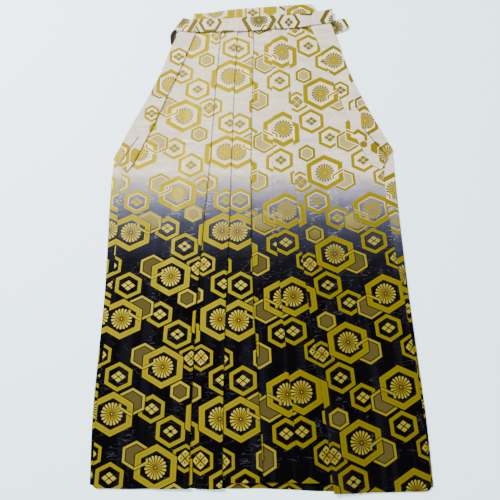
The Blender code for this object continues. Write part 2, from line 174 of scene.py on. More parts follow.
@dataclass(frozen=True)
class Crease:
    """A soft ridge or trough along a straight line; it dies away over the last third at each end.

    Args:
        start: One end, x and y in mm.
        end: The other end.
        half: Half of its width, mm.
        high: Its height, mm; less than 0 for a trough.
    """

    start: Place
    end: Place
    half: float
    high: float

    def height(self, x: Array, y: Array) -> Array:
        """Height of the crease: a soft step of the distance from its line, times a soft step of each end.

        Args:
            x: X in mm.
            y: Y in mm.

        Returns:
            The height in mm, the same shape.
        """
        along = np.array(self.end) - np.array(self.start)
        length = float(np.hypot(*along))
        along = along / length
        s = (x - self.start[0]) * along[0] + (y - self.start[1]) * along[1]
        d = np.abs((x - self.start[0]) * along[1] - (y - self.start[1]) * along[0])
        ends = ease(3 * s / length) * ease(3 * (length - s) / length)
        return self.high * ends * ease(1 - d / self.half)


@dataclass(frozen=True)
class Lie:
    """How the fronts lie: over the board at the waist, with creases from being put away folded.

    Args:
        board_thick: Thickness of the board under the fronts, mm.
        half_layer: Half of a solid's layer of cloth, mm.
        lift_full: Full height is kept to this far below the board, mm.
        lift_none: The fronts are back down at this distance, mm.
        fold_line: The crease right across, from one place to another, mm.
        fold_high: Height of the crease right across, mm.
        fold_half: Half of that crease's width, mm.
        creases: The smaller creases.
        strength: By how much their heights are multiplied.
    """

    board_thick: float = 2.5
    half_layer: float = 0.5
    lift_full: float = 6.0
    lift_none: float = 46.0
    fold_line: tuple[Place, Place] = ((-260.0, 141.0), (260.0, 158.0))
    fold_high: float = 1.0
    fold_half: float = 5.0
    creases: tuple[Crease, ...] = ()
    strength: float = 1.5

    def lift(self, x: Array, y: Array) -> Array:
        """Height added at a place: the board's lift, the fold's ridge and every small crease.

        Args:
            x: X in mm.
            y: Y in mm.

        Returns:
            The height in mm, the same shape.
        """
        over = self.board_thick + GAP + self.half_layer - FRONT_LAYER
        below = column(BOARD_FOOT, x) - y
        total = over * (1 - ease((below - self.lift_full) / (self.lift_none - self.lift_full)))
        away = np.abs(column(self.fold_line, x) - y)
        total = total + self.fold_high * ease(1 - away / self.fold_half)
        for crease in self.creases:
            total = total + self.strength * crease.height(x, y)
        return total


LIE = Lie(creases=(
    Crease((-158.0, 146.5), (-74.0, 139.0), 2.6, 0.9),
    Crease((60.0, 144.0), (126.0, 136.5), 2.6, 0.9),
    Crease((-236.0, 92.0), (-120.0, 128.0), 9.0, 0.5),
    Crease((-228.0, 78.0), (-140.0, 96.0), 8.0, 0.35),
    Crease((-205.0, 64.0), (-112.0, 86.0), 10.0, 0.35),
    Crease((120.0, 118.0), (236.0, 78.0), 9.0, 0.5),
    Crease((132.0, 92.0), (228.0, 58.0), 8.0, 0.3),
    Crease((88.0, 196.0), (196.0, 168.0), 12.0, 0.35),
    Crease((-170.0, 250.0), (-92.0, 222.0), 11.0, 0.35),
    Crease((-98.0, 340.0), (-104.0, 190.0), 9.0, 0.3),
    Crease((78.0, 350.0), (96.0, 200.0), 10.0, 0.3),
    Crease((-225.0, -60.0), (-120.0, -40.0), 16.0, 0.4),
    Crease((-240.0, -190.0), (-130.0, -214.0), 18.0, 0.4),
    Crease((-236.0, -330.0), (-140.0, -300.0), 20.0, 0.45),
    Crease((118.0, -90.0), (228.0, -62.0), 16.0, 0.4),
    Crease((132.0, -240.0), (246.0, -262.0), 18.0, 0.4),
    Crease((140.0, -370.0), (250.0, -342.0), 20.0, 0.45),
    Crease((-80.0, 40.0), (-70.0, -210.0), 12.0, 0.3),
    Crease((10.0, 60.0), (14.0, -190.0), 12.0, 0.25),
    Crease((44.0, -30.0), (70.0, -330.0), 12.0, 0.3),
    Crease((-36.0, -120.0), (-30.0, -390.0), 12.0, 0.3),
))


@dataclass(frozen=True)
class Placement:
    """Where the woven repeat falls on one panel.

    Args:
        centres: Rows of (number of the repeat, x, y): the middle of the large hexagon, in mm, from
            the waist down, with the numbers falling.
        tilt: How far the cloth's crosswise thread drops per mm to the right.
        turned: The cloth lies the other way up.
        repeat: Length of the repeat, mm.
    """

    centres: tuple[tuple[float, float, float], ...]
    tilt: float = 0.0
    turned: bool = False
    repeat: float = 154.0

    def cloth(self, x: Array, y: Array) -> tuple[Array, Array]:
        """Place in the woven repeat.

        u is the distance from the line through the large hexagons; v is the repeat's number times its
        length, read at the height of the same crosswise thread.

        Args:
            x: X in mm.
            y: Y in mm.

        Returns:
            u and v in metres.
        """
        rows = np.array(self.centres)[::-1]
        middle = np.interp(y, rows[:, 2], rows[:, 1])
        level = y + self.tilt * (x - middle)
        number = np.interp(level, rows[:, 2], rows[:, 0])
        sign = -1.0 if self.turned else 1.0
        return sign * (x - middle) * MM, sign * number * self.repeat * MM


SIDE_RIGHT = Placement(((4, -116.7, 515.0), (3, -128.5, 358.0), (2, -140.3, 201.0), (1, -147.0, 45.6),
                        (0, -153.2, -106.7), (-1, -160.5, -258.6), (-2, -165.2, -412.7),
                        (-3, -170.0, -567.0)), 0.04)
PANEL_2 = Placement(((4, 30.5, 525.9), (3, 24.5, 363.7), (2, 18.5, 201.5), (1, 13.0, 48.4), (0, 10.7, -101.9),
                     (-1, 10.0, -261.2), (-2, 13.7, -419.7), (-3, 17.0, -578.0)), 0.01)
PANEL_3 = Placement(((4, 30.6, 527.4), (3, 33.3, 364.7), (2, 36.0, 202.0), (1, 37.7, 51.4), (0, 39.3, -102.0),
                     (-1, 43.5, -260.0), (-2, 47.7, -418.0), (-3, 52.0, -576.0)), -0.02)
PANEL_4 = Placement(((2, -31.0, 416.4), (1, -34.0, 251.0), (0, -37.0, 85.6), (-1, -36.5, -68.0),
                     (-2, -35.5, -223.1), (-3, -29.0, -382.0), (-4, -23.0, -557.0)), -0.01, True)
PANEL_5 = Placement(((2, -31.0, 415.6), (1, -31.3, 251.0), (0, -31.6, 86.4), (-1, -24.0, -68.0),
                     (-2, -14.3, -222.0), (-3, -3.5, -381.5), (-4, 7.0, -557.0)), -0.05, True)
SIDE_LEFT = Placement(((2, 118.0, 410.6), (1, 118.0, 248.5), (0, 120.0, 86.3), (-1, 132.0, -66.0),
                       (-2, 147.5, -218.0), (-3, 161.0, -375.5), (-4, 174.0, -533.0)), -0.08, True)
BACKS = Placement(((6, -1.5, 453.5), (0, -1.5, -470.5), (-1, -1.5, -624.5)))
STRIP_RIGHT = Placement(((3, -266.0, 430.0), (2, -266.0, 280.0), (1, -266.0, 128.0), (0, -268.0, -22.5),
                         (-1, -273.0, -175.0), (-2, -277.0, -326.0), (-3, -281.0, -477.0)))
STRIP_LEFT = Placement(((3, 150.0, 440.0), (2, 158.0, 285.0), (1, 166.0, 130.0), (0, 174.0, -25.0),
                        (-1, 182.0, -180.0), (-2, 190.0, -335.0), (-3, 198.0, -490.0)), 0.0, True)
AS_IT_LIES = Placement(((4, 0.0, 616.0), (0, 0.0, 0.0)))


@dataclass
class Run:
    """A run of points across the cloth at every station, in arrays of one shape (stations, points).

    Args:
        x: X of the points, mm.
        z: Their height, mm.
        hem: Y of the hem below each one, mm.
        place: Where the repeat falls on the run.
    """

    x: Array
    z: Array
    hem: Array
    place: Placement


@dataclass
class Middle:
    """A middle surface.

    Args:
        points: Its points (rows, columns, 3), mm.
        cloth: Their places on the cloth, m.
        fade: Their heights on the garment for the fade, m.
    """

    points: Array
    cloth: Array
    fade: Array


def steps(count: int, first: bool = False) -> Array:
    """Even parameters up to 1 as a row; 0 itself only for the first run of a line."""
    return np.linspace(0.0, 1.0, count + 1)[None, 0 if first else 1:]


def layer_height(q: Array, width: Array, layer: int) -> Array:
    """Height of a pleat's layer at a distance q back from its fold: it drops two pitches per width."""
    return FOLD_HEIGHT - 2 * PITCH * q / width - layer * PITCH


@dataclass(frozen=True)
class Pleats:
    """Shared shapes of the pleated fronts.

    Args:
        ramp: Run over which a side panel climbs from the floor to the pleats, mm.
        ramp_clear: Least flat cloth left beside the seam, mm.
        corner: How far a hem is rounded up at the seam, mm.
        corner_reach: How far in from the seam it is rounded, mm.
    """

    ramp: float = 25.0
    ramp_clear: float = 4.0
    corner: float = 6.0
    corner_reach: float = 12.0

    def side_height(self, x: Array, fold: Array, width: Array, seam: Array) -> Array:
        """Height of a side panel: low beside the seam, then a soft step up to the slope towards its fold.

        Args:
            x: X of the points, mm.
            fold: X of the panel's fold at each station.
            width: Width of the panel beside it.
            seam: X of the seam.

        Returns:
            The height in mm, the same shape as x.
        """
        q = np.abs(fold - x)
        lap = UNDERLAP * width
        run = np.minimum(self.ramp, np.abs(fold - seam) - lap - self.ramp_clear)
        foot = layer_height(lap, width, 0)
        climb = FRONT_LAYER + (foot - FRONT_LAYER) * (1 - ease((q - lap) / run))
        return np.where(q <= lap, layer_height(q, width, 0), climb)

    def side_run(self, inward: int, seam: Array, fold: Array, width: Array, hems: tuple[float, float],
                 place: Placement, count: int = 56) -> Run:
        """The wide side panel, from its seam to just before its fold.

        Args:
            inward: Direction of X from the seam to the fold.
            seam: X of the seam at each station.
            fold: X of the fold.
            width: Width of the panel beside it.
            hems: Y of the hem at the seam and at the fold.
            place: The repeat on the panel.
            count: Points across.

        Returns:
            The run.
        """
        t = steps(count, first=True)
        q = np.abs(fold - seam) * (1 - t) + TURN * t
        x = fold - inward * q
        away = np.abs(x - seam)
        share = away / np.abs(fold - seam)
        rounded = self.corner * np.clip(1 - away / self.corner_reach, 0.0, 1.0) ** 3
        hem = hems[0] + (hems[1] - hems[0]) * share + rounded
        return Run(x, self.side_height(x, fold, width, seam), hem, place)

    @staticmethod
    def turn(face: Array, start: Array, end: Array, way: int, hem: float, place: Placement,
             count: int = 6) -> Run:
        """Half circle of a fold: x = centre + radius sin a, z = middle + radius cos a.

        Args:
            face: X of the fold's outer face.
            start: Height where it starts.
            end: Height where it ends.
            way: Direction that the fold faces.
            hem: Y of the hem.
            place: The repeat.
            count: Points round the turn.

        Returns:
            The run.
        """
        angle = np.pi * steps(count)
        radius = np.abs(end - start) / 2
        middle = (start + end) / 2
        centre = face - way * (radius + SHEET / 2)
        x = centre + way * radius * np.sin(angle)
        z = middle + (start - middle) * np.cos(angle)
        return Run(x, z, np.full_like(x, hem), place)

    def tuck(self, inward: int, fold: Array, width: Array, hems: tuple[float, float],
             places: tuple[Placement, Placement]) -> list[Run]:
        """From a panel round its fold, back under it, and round again to the fold line two layers down.

        Args:
            inward: Direction that the fold faces.
            fold: X of the fold at each station.
            width: Width that sets the pleat's depth.
            hems: Y of the hem over and under.
            places: The repeat on the panel over and on the next one.

        Returns:
            The runs in order.
        """
        lap = UNDERLAP * width
        back = TURN + (lap - 2 * TURN) * steps(5)
        under = (lap - TURN) * (1 - steps(8))
        runs = [self.turn(fold, layer_height(TURN, width, 0), layer_height(TURN, width, 1), inward,
                          hems[0], places[0])]
        x = fold - inward * back
        runs.append(Run(x, layer_height(back, width, 1), np.full_like(x, hems[0]), places[0]))
        runs.append(self.turn(fold - inward * lap, layer_height(lap - TURN, width, 1),
                              layer_height(lap - TURN, width, 2), -inward, hems[1], places[1]))
        x = fold - inward * under
        runs.append(Run(x, layer_height(under, width, 2), np.full_like(x, hems[1]), places[1]))
        return runs

    @staticmethod
    def panel(inward: int, fold: Array, width: Array, hems: tuple[float, float], place: Placement,
              count: int = 18) -> Run:
        """A narrow panel from under the fold before it up to its own fold.

        Args:
            inward: Direction that the fold faces.
            fold: X of its own fold.
            width: Its width.
            hems: Y of the hem in its first and second half.
            place: The repeat.
            count: Points across.

        Returns:
            The run.
        """
        q = width + (TURN - width) * steps(count)
        x = fold - inward * q
        hem = np.where(q > width / 2, hems[0], hems[1])
        return Run(x, layer_height(q, width, 0), hem, place)


@dataclass(frozen=True)
class Draft:
    """Turns runs into a middle surface.

    Args:
        rows: Steps along the length.
        under_tie: How far the fronts reach up under the band, mm.
        length: Length from the waist seam to the hem, mm.
        wave: Unevenness of a hem, mm.
        fold_share: Between these shares the stations are closer, for the fold right across.
        fold_rows: How many stations are there.
    """

    rows: int = 168
    under_tie: float = 24.0
    length: float = 826.0
    wave: float = 0.5
    fold_share: tuple[float, float] = (0.256, 0.302)
    fold_rows: int = 36

    def shares(self, first: float | None = None, last: float = 1.0) -> Array:
        """The stations as a column.

        Args:
            first: The first share; without one, they start under the band.
            last: The last share.

        Returns:
            The shares of the length.
        """
        start = 0.0 if first is None else first
        body = np.linspace(start, last, max(int(self.rows * (last - start)), 8) + 1)
        if first is not None:
            return body[:, None]
        low, high = self.fold_share
        close = np.linspace(low, high, self.fold_rows)
        body = np.concatenate([body[body < low - 0.001], close, body[body > high + 0.001]])
        return np.concatenate([[-self.under_tie / self.length], body])[:, None]

    def uneven(self, x: Array) -> Array:
        """Slight unevenness of a hem: two slow sines of x."""
        return self.wave * (np.sin(x / 23.0 + 1.0) + 0.6 * np.sin(x / 9.1 + 2.0)) / 1.6

    def surface(self, runs: list[Run], share: Array, fade_shift: float = 0.0, lifted: bool = True) -> Middle:
        """Places the runs: y runs in equal shares from the waist seam to each point's own hem.

        Args:
            runs: The runs in order across the cloth.
            share: The stations, a column.
            fade_shift: How far lower the cloth's fade lies, mm.
            lifted: Whether the heights follow the board and creases.

        Returns:
            The middle surface.
        """
        x = np.concatenate([r.x + 0 * share for r in runs], axis=1)
        z = np.concatenate([r.z + 0 * share for r in runs], axis=1)
        hem = np.concatenate([r.hem + 0 * share for r in runs], axis=1)
        hem = hem + self.uneven(x)
        top = column(WAIST_SEAM, x[int(np.argmin(np.abs(share[:, 0])))])
        y = top + (hem - top) * share
        if lifted:
            z = z + LIE.lift(x, y)
        u, v = [], []
        start = 0
        for r in runs:
            end = start + r.x.shape[1]
            a, b = r.place.cloth(x[:, start:end], y[:, start:end])
            u.append(a)
            v.append(b)
            start = end
        cloth = np.stack([np.concatenate(u, axis=1), np.concatenate(v, axis=1)], axis=2)
        return Middle(np.stack([x, y, z], axis=2), cloth, (y + fade_shift) * MM)


class Shell:
    """A closed mesh between two grids, with the cloth's own map and fade on its points."""

    def __init__(self, name: str, upper: Array, lower: Array, cloth: Array, fade: Array) -> None:
        """Keeps the grids.

        Args:
            name: Name of the piece.
            upper: Points (rows, columns, 3) in mm, on the side that faces out.
            lower: Points of the other side.
            cloth: Place in the cloth's pattern, m.
            fade: Height on the garment for the fade, m.
        """
        self.name = name
        self.upper = upper
        self.lower = lower
        self.cloth = cloth
        self.fade = fade

    @staticmethod
    def round(name: str, middle: Middle, thickness: float = SHEET) -> "Shell":
        """A wall of even thickness round a middle surface.

        Each point moves square to the surface's own line across, by half the thickness over the cosine
        of half the bend there.

        Args:
            name: Name of the piece.
            middle: The middle surface.
            thickness: In mm.

        Returns:
            The shell.
        """
        points = middle.points
        step = np.diff(points[:, :, [0, 2]], axis=1)
        step = step / np.maximum(np.linalg.norm(step, axis=2, keepdims=True), 1e-9)
        before = np.concatenate([step[:, :1], step], axis=1)
        after = np.concatenate([step, step[:, -1:]], axis=1)
        tangent = before + after
        tangent = tangent / np.linalg.norm(tangent, axis=2, keepdims=True)
        reach = 1 / np.maximum(np.sum(tangent * after, axis=2, keepdims=True), 0.5)
        shift = np.zeros_like(points)
        shift[:, :, [0, 2]] = np.stack([-tangent[:, :, 1], tangent[:, :, 0]], axis=2) * reach * thickness / 2
        return Shell(name, points + shift, points - shift, middle.cloth, middle.fade)

    @staticmethod
    def rounded(away: Array, edge: float, least: float) -> Array:
        """Share of the full thickness near a rounded rim: a quarter ellipse of the distance from it.

        Args:
            away: Distance from the rim, mm.
            edge: Width over which the rim is rounded, mm.
            least: The share on the rim itself.

        Returns:
            The share, the same shape as away.
        """
        near = np.minimum(away, edge) / edge
        return least + (1 - least) * np.sqrt(np.clip(1 - (1 - near) ** 2, 0.0, 1.0))

    @staticmethod
    def slab(name: str, points: Array, half: Array, cloth: Array) -> "Shell":
        """A flat piece with faces at half of its thickness over and under its middle points.

        Args:
            name: Name of the piece.
            points: The middle points (rows, columns, 3), mm.
            half: Half of the thickness at each, mm.
            cloth: Place in the cloth's pattern, m.

        Returns:
            The shell.
        """
        raised = np.zeros_like(points)
        raised[:, :, 2] = half
        turned = slice(None, None, -1)
        fade = points[:, :, 1] * MM + SLAB_FADE
        return Shell(name, (points + raised)[:, turned], (points - raised)[:, turned], cloth[:, turned],
                     fade[:, turned])

    def quads(self) -> Array:
        """Every face, all turned outwards: both grids and the four rims between them.

        Returns:
            Four point numbers for each face.
        """
        rows, columns = self.upper.shape[:2]
        over = np.arange(rows * columns).reshape(rows, columns)
        under = over + rows * columns

        def sheet(g: Array) -> Array:
            """Faces of a grid of point numbers."""
            return np.stack([g[:-1, :-1], g[1:, :-1], g[1:, 1:], g[:-1, 1:]], axis=2).reshape(-1, 4)

        def rim(a: Array, b: Array) -> Array:
            """Faces between two lines of point numbers."""
            return np.stack([a[:-1], a[1:], b[1:], b[:-1]], axis=1)

        parts = [sheet(over), sheet(under)[:, ::-1], rim(over[0], under[0]),
                 rim(over[-1], under[-1])[:, ::-1], rim(over[:, 0], under[:, 0])[:, ::-1],
                 rim(over[:, -1], under[:, -1])]
        return np.concatenate(parts)

    def piece(self, finish: bpy.types.Material) -> bpy.types.Object:
        """Makes the object: points, faces, the cloth's map, the fade and smooth shading.

        Args:
            finish: Its material.

        Returns:
            The object, at the origin.
        """
        points = np.concatenate([self.upper.reshape(-1, 3), self.lower.reshape(-1, 3)]) * MM
        quads = self.quads()
        mesh = bpy.data.meshes.new(self.name)
        mesh.vertices.add(len(points))
        mesh.vertices.foreach_set("co", points.astype(np.float32).ravel())
        mesh.loops.add(quads.size)
        mesh.loops.foreach_set("vertex_index", quads.astype(np.int32).ravel())
        mesh.polygons.add(len(quads))
        mesh.polygons.foreach_set("loop_start", np.arange(0, quads.size, 4, dtype=np.int32))
        mesh.polygons.foreach_set("use_smooth", np.ones(len(quads), dtype=bool))
        mesh.update(calc_edges=True)
        mesh.validate()
        places = np.concatenate([self.cloth.reshape(-1, 2)] * 2)
        layer = mesh.uv_layers.new(name=UV_NAME)
        layer.data.foreach_set("uv", places[quads.ravel()].astype(np.float32).ravel())
        fades = np.concatenate([self.fade.ravel()] * 2)
        mesh.attributes.new(FADE_NAME, "FLOAT", "POINT").data.foreach_set("value", fades.astype(np.float32))
        mesh.set_sharp_from_angle(angle=math.radians(50.0))
        mesh.materials.append(finish)
        made = bpy.data.objects.new(self.name, mesh)
        bpy.context.scene.collection.objects.link(made)
        return made


@dataclass(frozen=True)
class Cut:
    """The flat cut of a piece of cloth and what it lies on.

    Args:
        width: Of the smallest rectangle round the cut, m.
        length: The same, m.
        area: Of the cut, square metres.
        rests_on: Names of what carries it.
        held: How it is held.
    """

    width: float
    length: float
    area: float
    rests_on: tuple[str, ...]
    held: str = "laid"


class Piece:
    """A finished piece of the garment that stands for one CAD node."""

    def __init__(self, shell: Shell, finish: bpy.types.Material, slot: str) -> None:
        """Makes the object, hangs it under the frame's root empty and hides the CAD part that it stands for.

        Args:
            shell: Its shape.
            finish: Its material.
            slot: Name of a slot; not used.
        """
        self.name = shell.name
        self.object = shell.piece(finish)
        self.object.name = shell.name + "_cloth"
        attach(self.object, "root")
        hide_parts(shell.name)

    def declare(self) -> "Piece":
        """Returns:
            The piece itself.
        """
        return self

    def log(self) -> None:
        """Logs the piece's faces and half of its surface."""
        areas = np.empty(len(self.object.data.polygons), dtype=np.float32)
        self.object.data.polygons.foreach_get("area", areas)
        LOG.info("%s: %d faces, %.5f square metres", self.name, len(areas), float(areas.sum()) / 2)


@dataclass(frozen=True)
class RightFront:
    """The wearer's right front: the side panel, two narrow panels and the centre fold.

    Args:
        pleats: The shapes of its pleats.
        draft: Its stations.
        hem: Y of the hem, mm.
        hem_notch: Y of the hem where one panel lies over the next, mm.
        hem_middle: Y of the hem at the centre fold, mm.
        cut: The cut of what shows; not used.
    """

    pleats: Pleats = Pleats()
    draft: Draft = Draft()
    hem: float = -443.5
    hem_notch: float = -439.5
    hem_middle: float = -434.5
    cut: Cut = Cut(0.45, 0.92, 0.349, ("back_leg_right_cloth", "back_board_cloth"), "folded")

    def middle(self) -> Middle:
        """The middle surface: a line across at each station, carried down to the hem.

        The line is the side panel, a tuck, a panel, a tuck, the centre fold's panel, the half circle of
        its fold and the return under it.

        Returns:
            The middle surface, from the side seam inwards.
        """
        share = self.draft.shares()
        names = ("seam_right", "pleat_2", "pleat_3", "centre")
        seam, first, second, last = (LINES.x(n, share) for n in names)
        width, inner = second - first, last - second
        runs = [self.pleats.side_run(1, seam, first, width, (self.hem, self.hem), SIDE_RIGHT)]
        runs += self.pleats.tuck(1, first, width, (self.hem, self.hem_notch), (SIDE_RIGHT, PANEL_2))
        runs.append(self.pleats.panel(1, second, width, (self.hem_notch, self.hem), PANEL_2))
        runs += self.pleats.tuck(1, second, width, (self.hem, self.hem_middle), (PANEL_2, PANEL_3))
        runs.append(self.pleats.panel(1, last, inner, (self.hem_middle, self.hem_middle), PANEL_3))
        runs.append(self.pleats.turn(last, layer_height(TURN, inner, 0), layer_height(TURN, inner, 1), 1,
                                     self.hem_middle, PANEL_3))
        q = TURN + (UNDERLAP * inner - TURN) * steps(6)
        runs.append(Run(last - q, layer_height(q, inner, 1), np.full_like(q, self.hem_middle), PANEL_3))
        return self.draft.surface(runs, share)

    def build(self, finish: bpy.types.Material) -> Piece:
        """Makes the piece."""
        return Piece(Shell.round("front_leg_right", self.middle()), finish, "brocade_front").declare()


@dataclass(frozen=True)
class LeftFront:
    """The wearer's left front: the side panel, a narrow panel and the lowest panel under the centre fold.

    Args:
        pleats: The shapes of its pleats.
        draft: Its stations.
        hem: Y of the hem, mm.
        hem_seam: Y of the hem at the side seam, mm.
        hem_middle: Y of the hem of the two inner panels, mm.
        sag: How far the lowest panel drops between its edges, mm.
        cut: The cut of what shows; not used.
    """

    pleats: Pleats = Pleats()
    draft: Draft = Draft()
    hem: float = -450.5
    hem_seam: float = -447.0
    hem_middle: float = -434.5
    sag: float = 0.9
    cut: Cut = Cut(0.46, 0.93, 0.357, ("back_leg_left_cloth", "back_board_cloth"), "folded")

    def middle(self) -> Middle:
        """The middle surface: a line across at each station, carried down to the hem.

        The line is the side panel, a tuck, a panel, a tuck and the lowest panel, which drops by half a
        sine between its edges and then goes on under the centre fold.

        Returns:
            The middle surface, from the side seam inwards.
        """
        share = self.draft.shares()
        names = ("seam_left", "pleat_6", "pleat_5", "centre", "pleat_3")
        seam, first, second, last, beyond = (LINES.x(n, share) for n in names)
        width = first - second
        runs = [self.pleats.side_run(-1, seam, first, width, (self.hem_seam, self.hem), SIDE_LEFT)]
        runs += self.pleats.tuck(-1, first, width, (self.hem, self.hem_middle), (SIDE_LEFT, PANEL_5))
        runs.append(self.pleats.panel(-1, second, width, (self.hem_middle, self.hem_middle), PANEL_5))
        runs += self.pleats.tuck(-1, second, width, (self.hem_middle, self.hem_middle), (PANEL_5, PANEL_4))
        t = steps(14)
        x = second + (last - second) * t
        z = FOLD_HEIGHT - 2 * PITCH - self.sag * np.sin(np.pi * t) + 0 * x
        runs.append(Run(x, z, np.full_like(x, self.hem_middle), PANEL_4))
        inner = last - beyond
        q = UNDERLAP * inner * steps(7)
        runs.append(Run(last - q, layer_height(q, inner, 2), np.full_like(q, self.hem_middle), PANEL_4))
        return self.draft.surface(runs, share)

    def build(self, finish: bpy.types.Material) -> Piece:
        """Makes the piece."""
        return Piece(Shell.round("front_leg_left", self.middle()), finish, "brocade_front").declare()


@dataclass(frozen=True)
class BackLeg:
    """A back, flat on the floor, turned up at the side as far as the side seam.

    Args:
        side: The wearer's side.
        first: Share of the length at its top.
        hem_side: Y of its hem where it is turned up, mm.
        strip: The repeat on the part that is turned up.
        fade_shift: How far lower its fade lies, mm.
        cut: The cut of what is built; not used.
        edge: Width beside the outline over which its hem is rounded, mm.
        hem: The hem, x and y, mm.
        draft: Its stations.
    """

    side: Side
    first: float
    hem_side: float
    strip: Placement
    fade_shift: float
    cut: Cut
    edge: float = 12.0
    hem: tuple[Place, ...] = ((-250.0, -443.0), (0.0, -443.5), (114.0, -447.5), (250.0, -446.0))
    draft: Draft = Draft(rows=150)

    def middle(self) -> Middle:
        """The middle surface: flat on the floor out to the outline, a half circle up, and back inwards.

        Returns:
            The middle surface, from the centre seam to the side seam.
        """
        way, name = self.side.value, self.side.name.lower()
        share = self.draft.shares(self.first)
        outline, seam = LINES.x("outline_" + name, share), LINES.x("seam_" + name, share)
        far = outline - way * TURN
        x = way * GAP / 2 + (far - way * GAP / 2) * steps(52, first=True)
        hem = column(self.hem, x)
        near = ease(1 - np.abs(far - x) / self.edge)
        hem = hem + (self.hem_side - hem) * near
        runs = [Run(x, np.full_like(x, FLOOR_LAYER), hem, BACKS)]
        runs.append(Pleats.turn(outline, np.full_like(outline, FLOOR_LAYER),
                                np.full_like(outline, FRONT_LAYER), way, self.hem_side, self.strip))
        x = far + (seam + way * GAP - far) * steps(8)
        runs.append(Run(x, np.full_like(x, FRONT_LAYER), np.full_like(x, self.hem_side), self.strip))
        made = self.draft.surface(runs, share, self.fade_shift, lifted=False)
        made.points[0, :, 1] = column(BOARD_FOOT, made.points[0, :, 0]) - GAP
        return made

    def build(self, finish: bpy.types.Material) -> Piece:
        """Makes the piece."""
        name = "back_leg_" + self.side.name.lower()
        return Piece(Shell.round(name, self.middle()), finish, "brocade_back").declare()


@dataclass(frozen=True)
class SidePleat:
    """The slanting folded strip beside a side opening, two layers on the side panel.

    Args:
        side: The wearer's side.
        ends: Where it ends, as shares of the length: at the outline, half way, at its slanted fold,
            half way back and at its upper edge.
        hem: Y of the hem that the shares lead to, mm.
        cut: The cut of what shows; not used.
        place: The repeat on it.
        even: Down to this share its stations are level.
        last: Nominal share of its last station.
        draft: Its stations.
        pleats: The shapes of the pleats under it.
    """

    side: Side
    ends: tuple[float, float, float, float, float]
    hem: float
    cut: Cut
    place: Placement = AS_IT_LIES
    even: float = 0.30
    last: float = 0.34
    draft: Draft = Draft(rows=190)
    pleats: Pleats = Pleats()

    def middle(self) -> Middle:
        """The middle surface: in from the outline, round the slanted fold and back towards the outline.

        Each layer is the side panel's height plus one pitch or two. Stations are level down to one share
        of the length, and from there each point runs evenly to its own end.

        Returns:
            The middle surface.
        """
        way, name = self.side.value, self.side.name.lower()
        share = self.draft.shares(None, self.last)
        outline, slant, second, seam = (LINES.x(n + name, share) for n in
                                        ("outline_", "slant_", "second_", "seam_"))
        folds = ("pleat_2", "pleat_3") if self.side is Side.RIGHT else ("pleat_6", "pleat_5")
        first, following = (LINES.x(n, share) for n in folds)
        width = np.abs(first - following)
        end = np.array(self.ends)

        edge = slant + way * TURN
        t = steps(14, first=True)
        x = outline + (edge - outline) * t
        under = self.pleats.side_height(x, first, width, seam) + PITCH
        runs = [Run(x, under, np.interp(t, (0.0, 0.5, 1.0), end[:3]) + 0 * x, self.place)]
        low = under[:, -1:]
        runs.append(Pleats.turn(slant, low, low + PITCH, -way, end[2], self.place))
        t = steps(9)
        x = edge + (second - edge) * t
        over = self.pleats.side_height(x, first, width, seam) + 2 * PITCH
        runs.append(Run(x, over, np.interp(t, (0.0, 0.5, 1.0), end[2:]) + 0 * x, self.place))

        x = np.concatenate([r.x for r in runs], axis=1)
        z = np.concatenate([r.z for r in runs], axis=1)
        stop = np.concatenate([r.hem + 0 * r.x for r in runs], axis=1)
        late = np.clip((share - self.even) / (self.last - self.even), 0.0, 1.0)
        place = np.where(share > self.even, self.even + (stop - self.even) * late, share)
        top = column(WAIST_SEAM, x[1])
        y = top + (self.hem - top) * place
        z = z + LIE.lift(x, y)
        u, v = self.place.cloth(x, y)
        return Middle(np.stack([x, y, z], axis=2), np.stack([u, v], axis=2), y * MM)

    def build(self, finish: bpy.types.Material) -> Piece:
        """Makes the piece."""
        name = "side_pleat_" + self.side.name.lower()
        return Piece(Shell.round(name, self.middle()), finish, "brocade_side").declare()


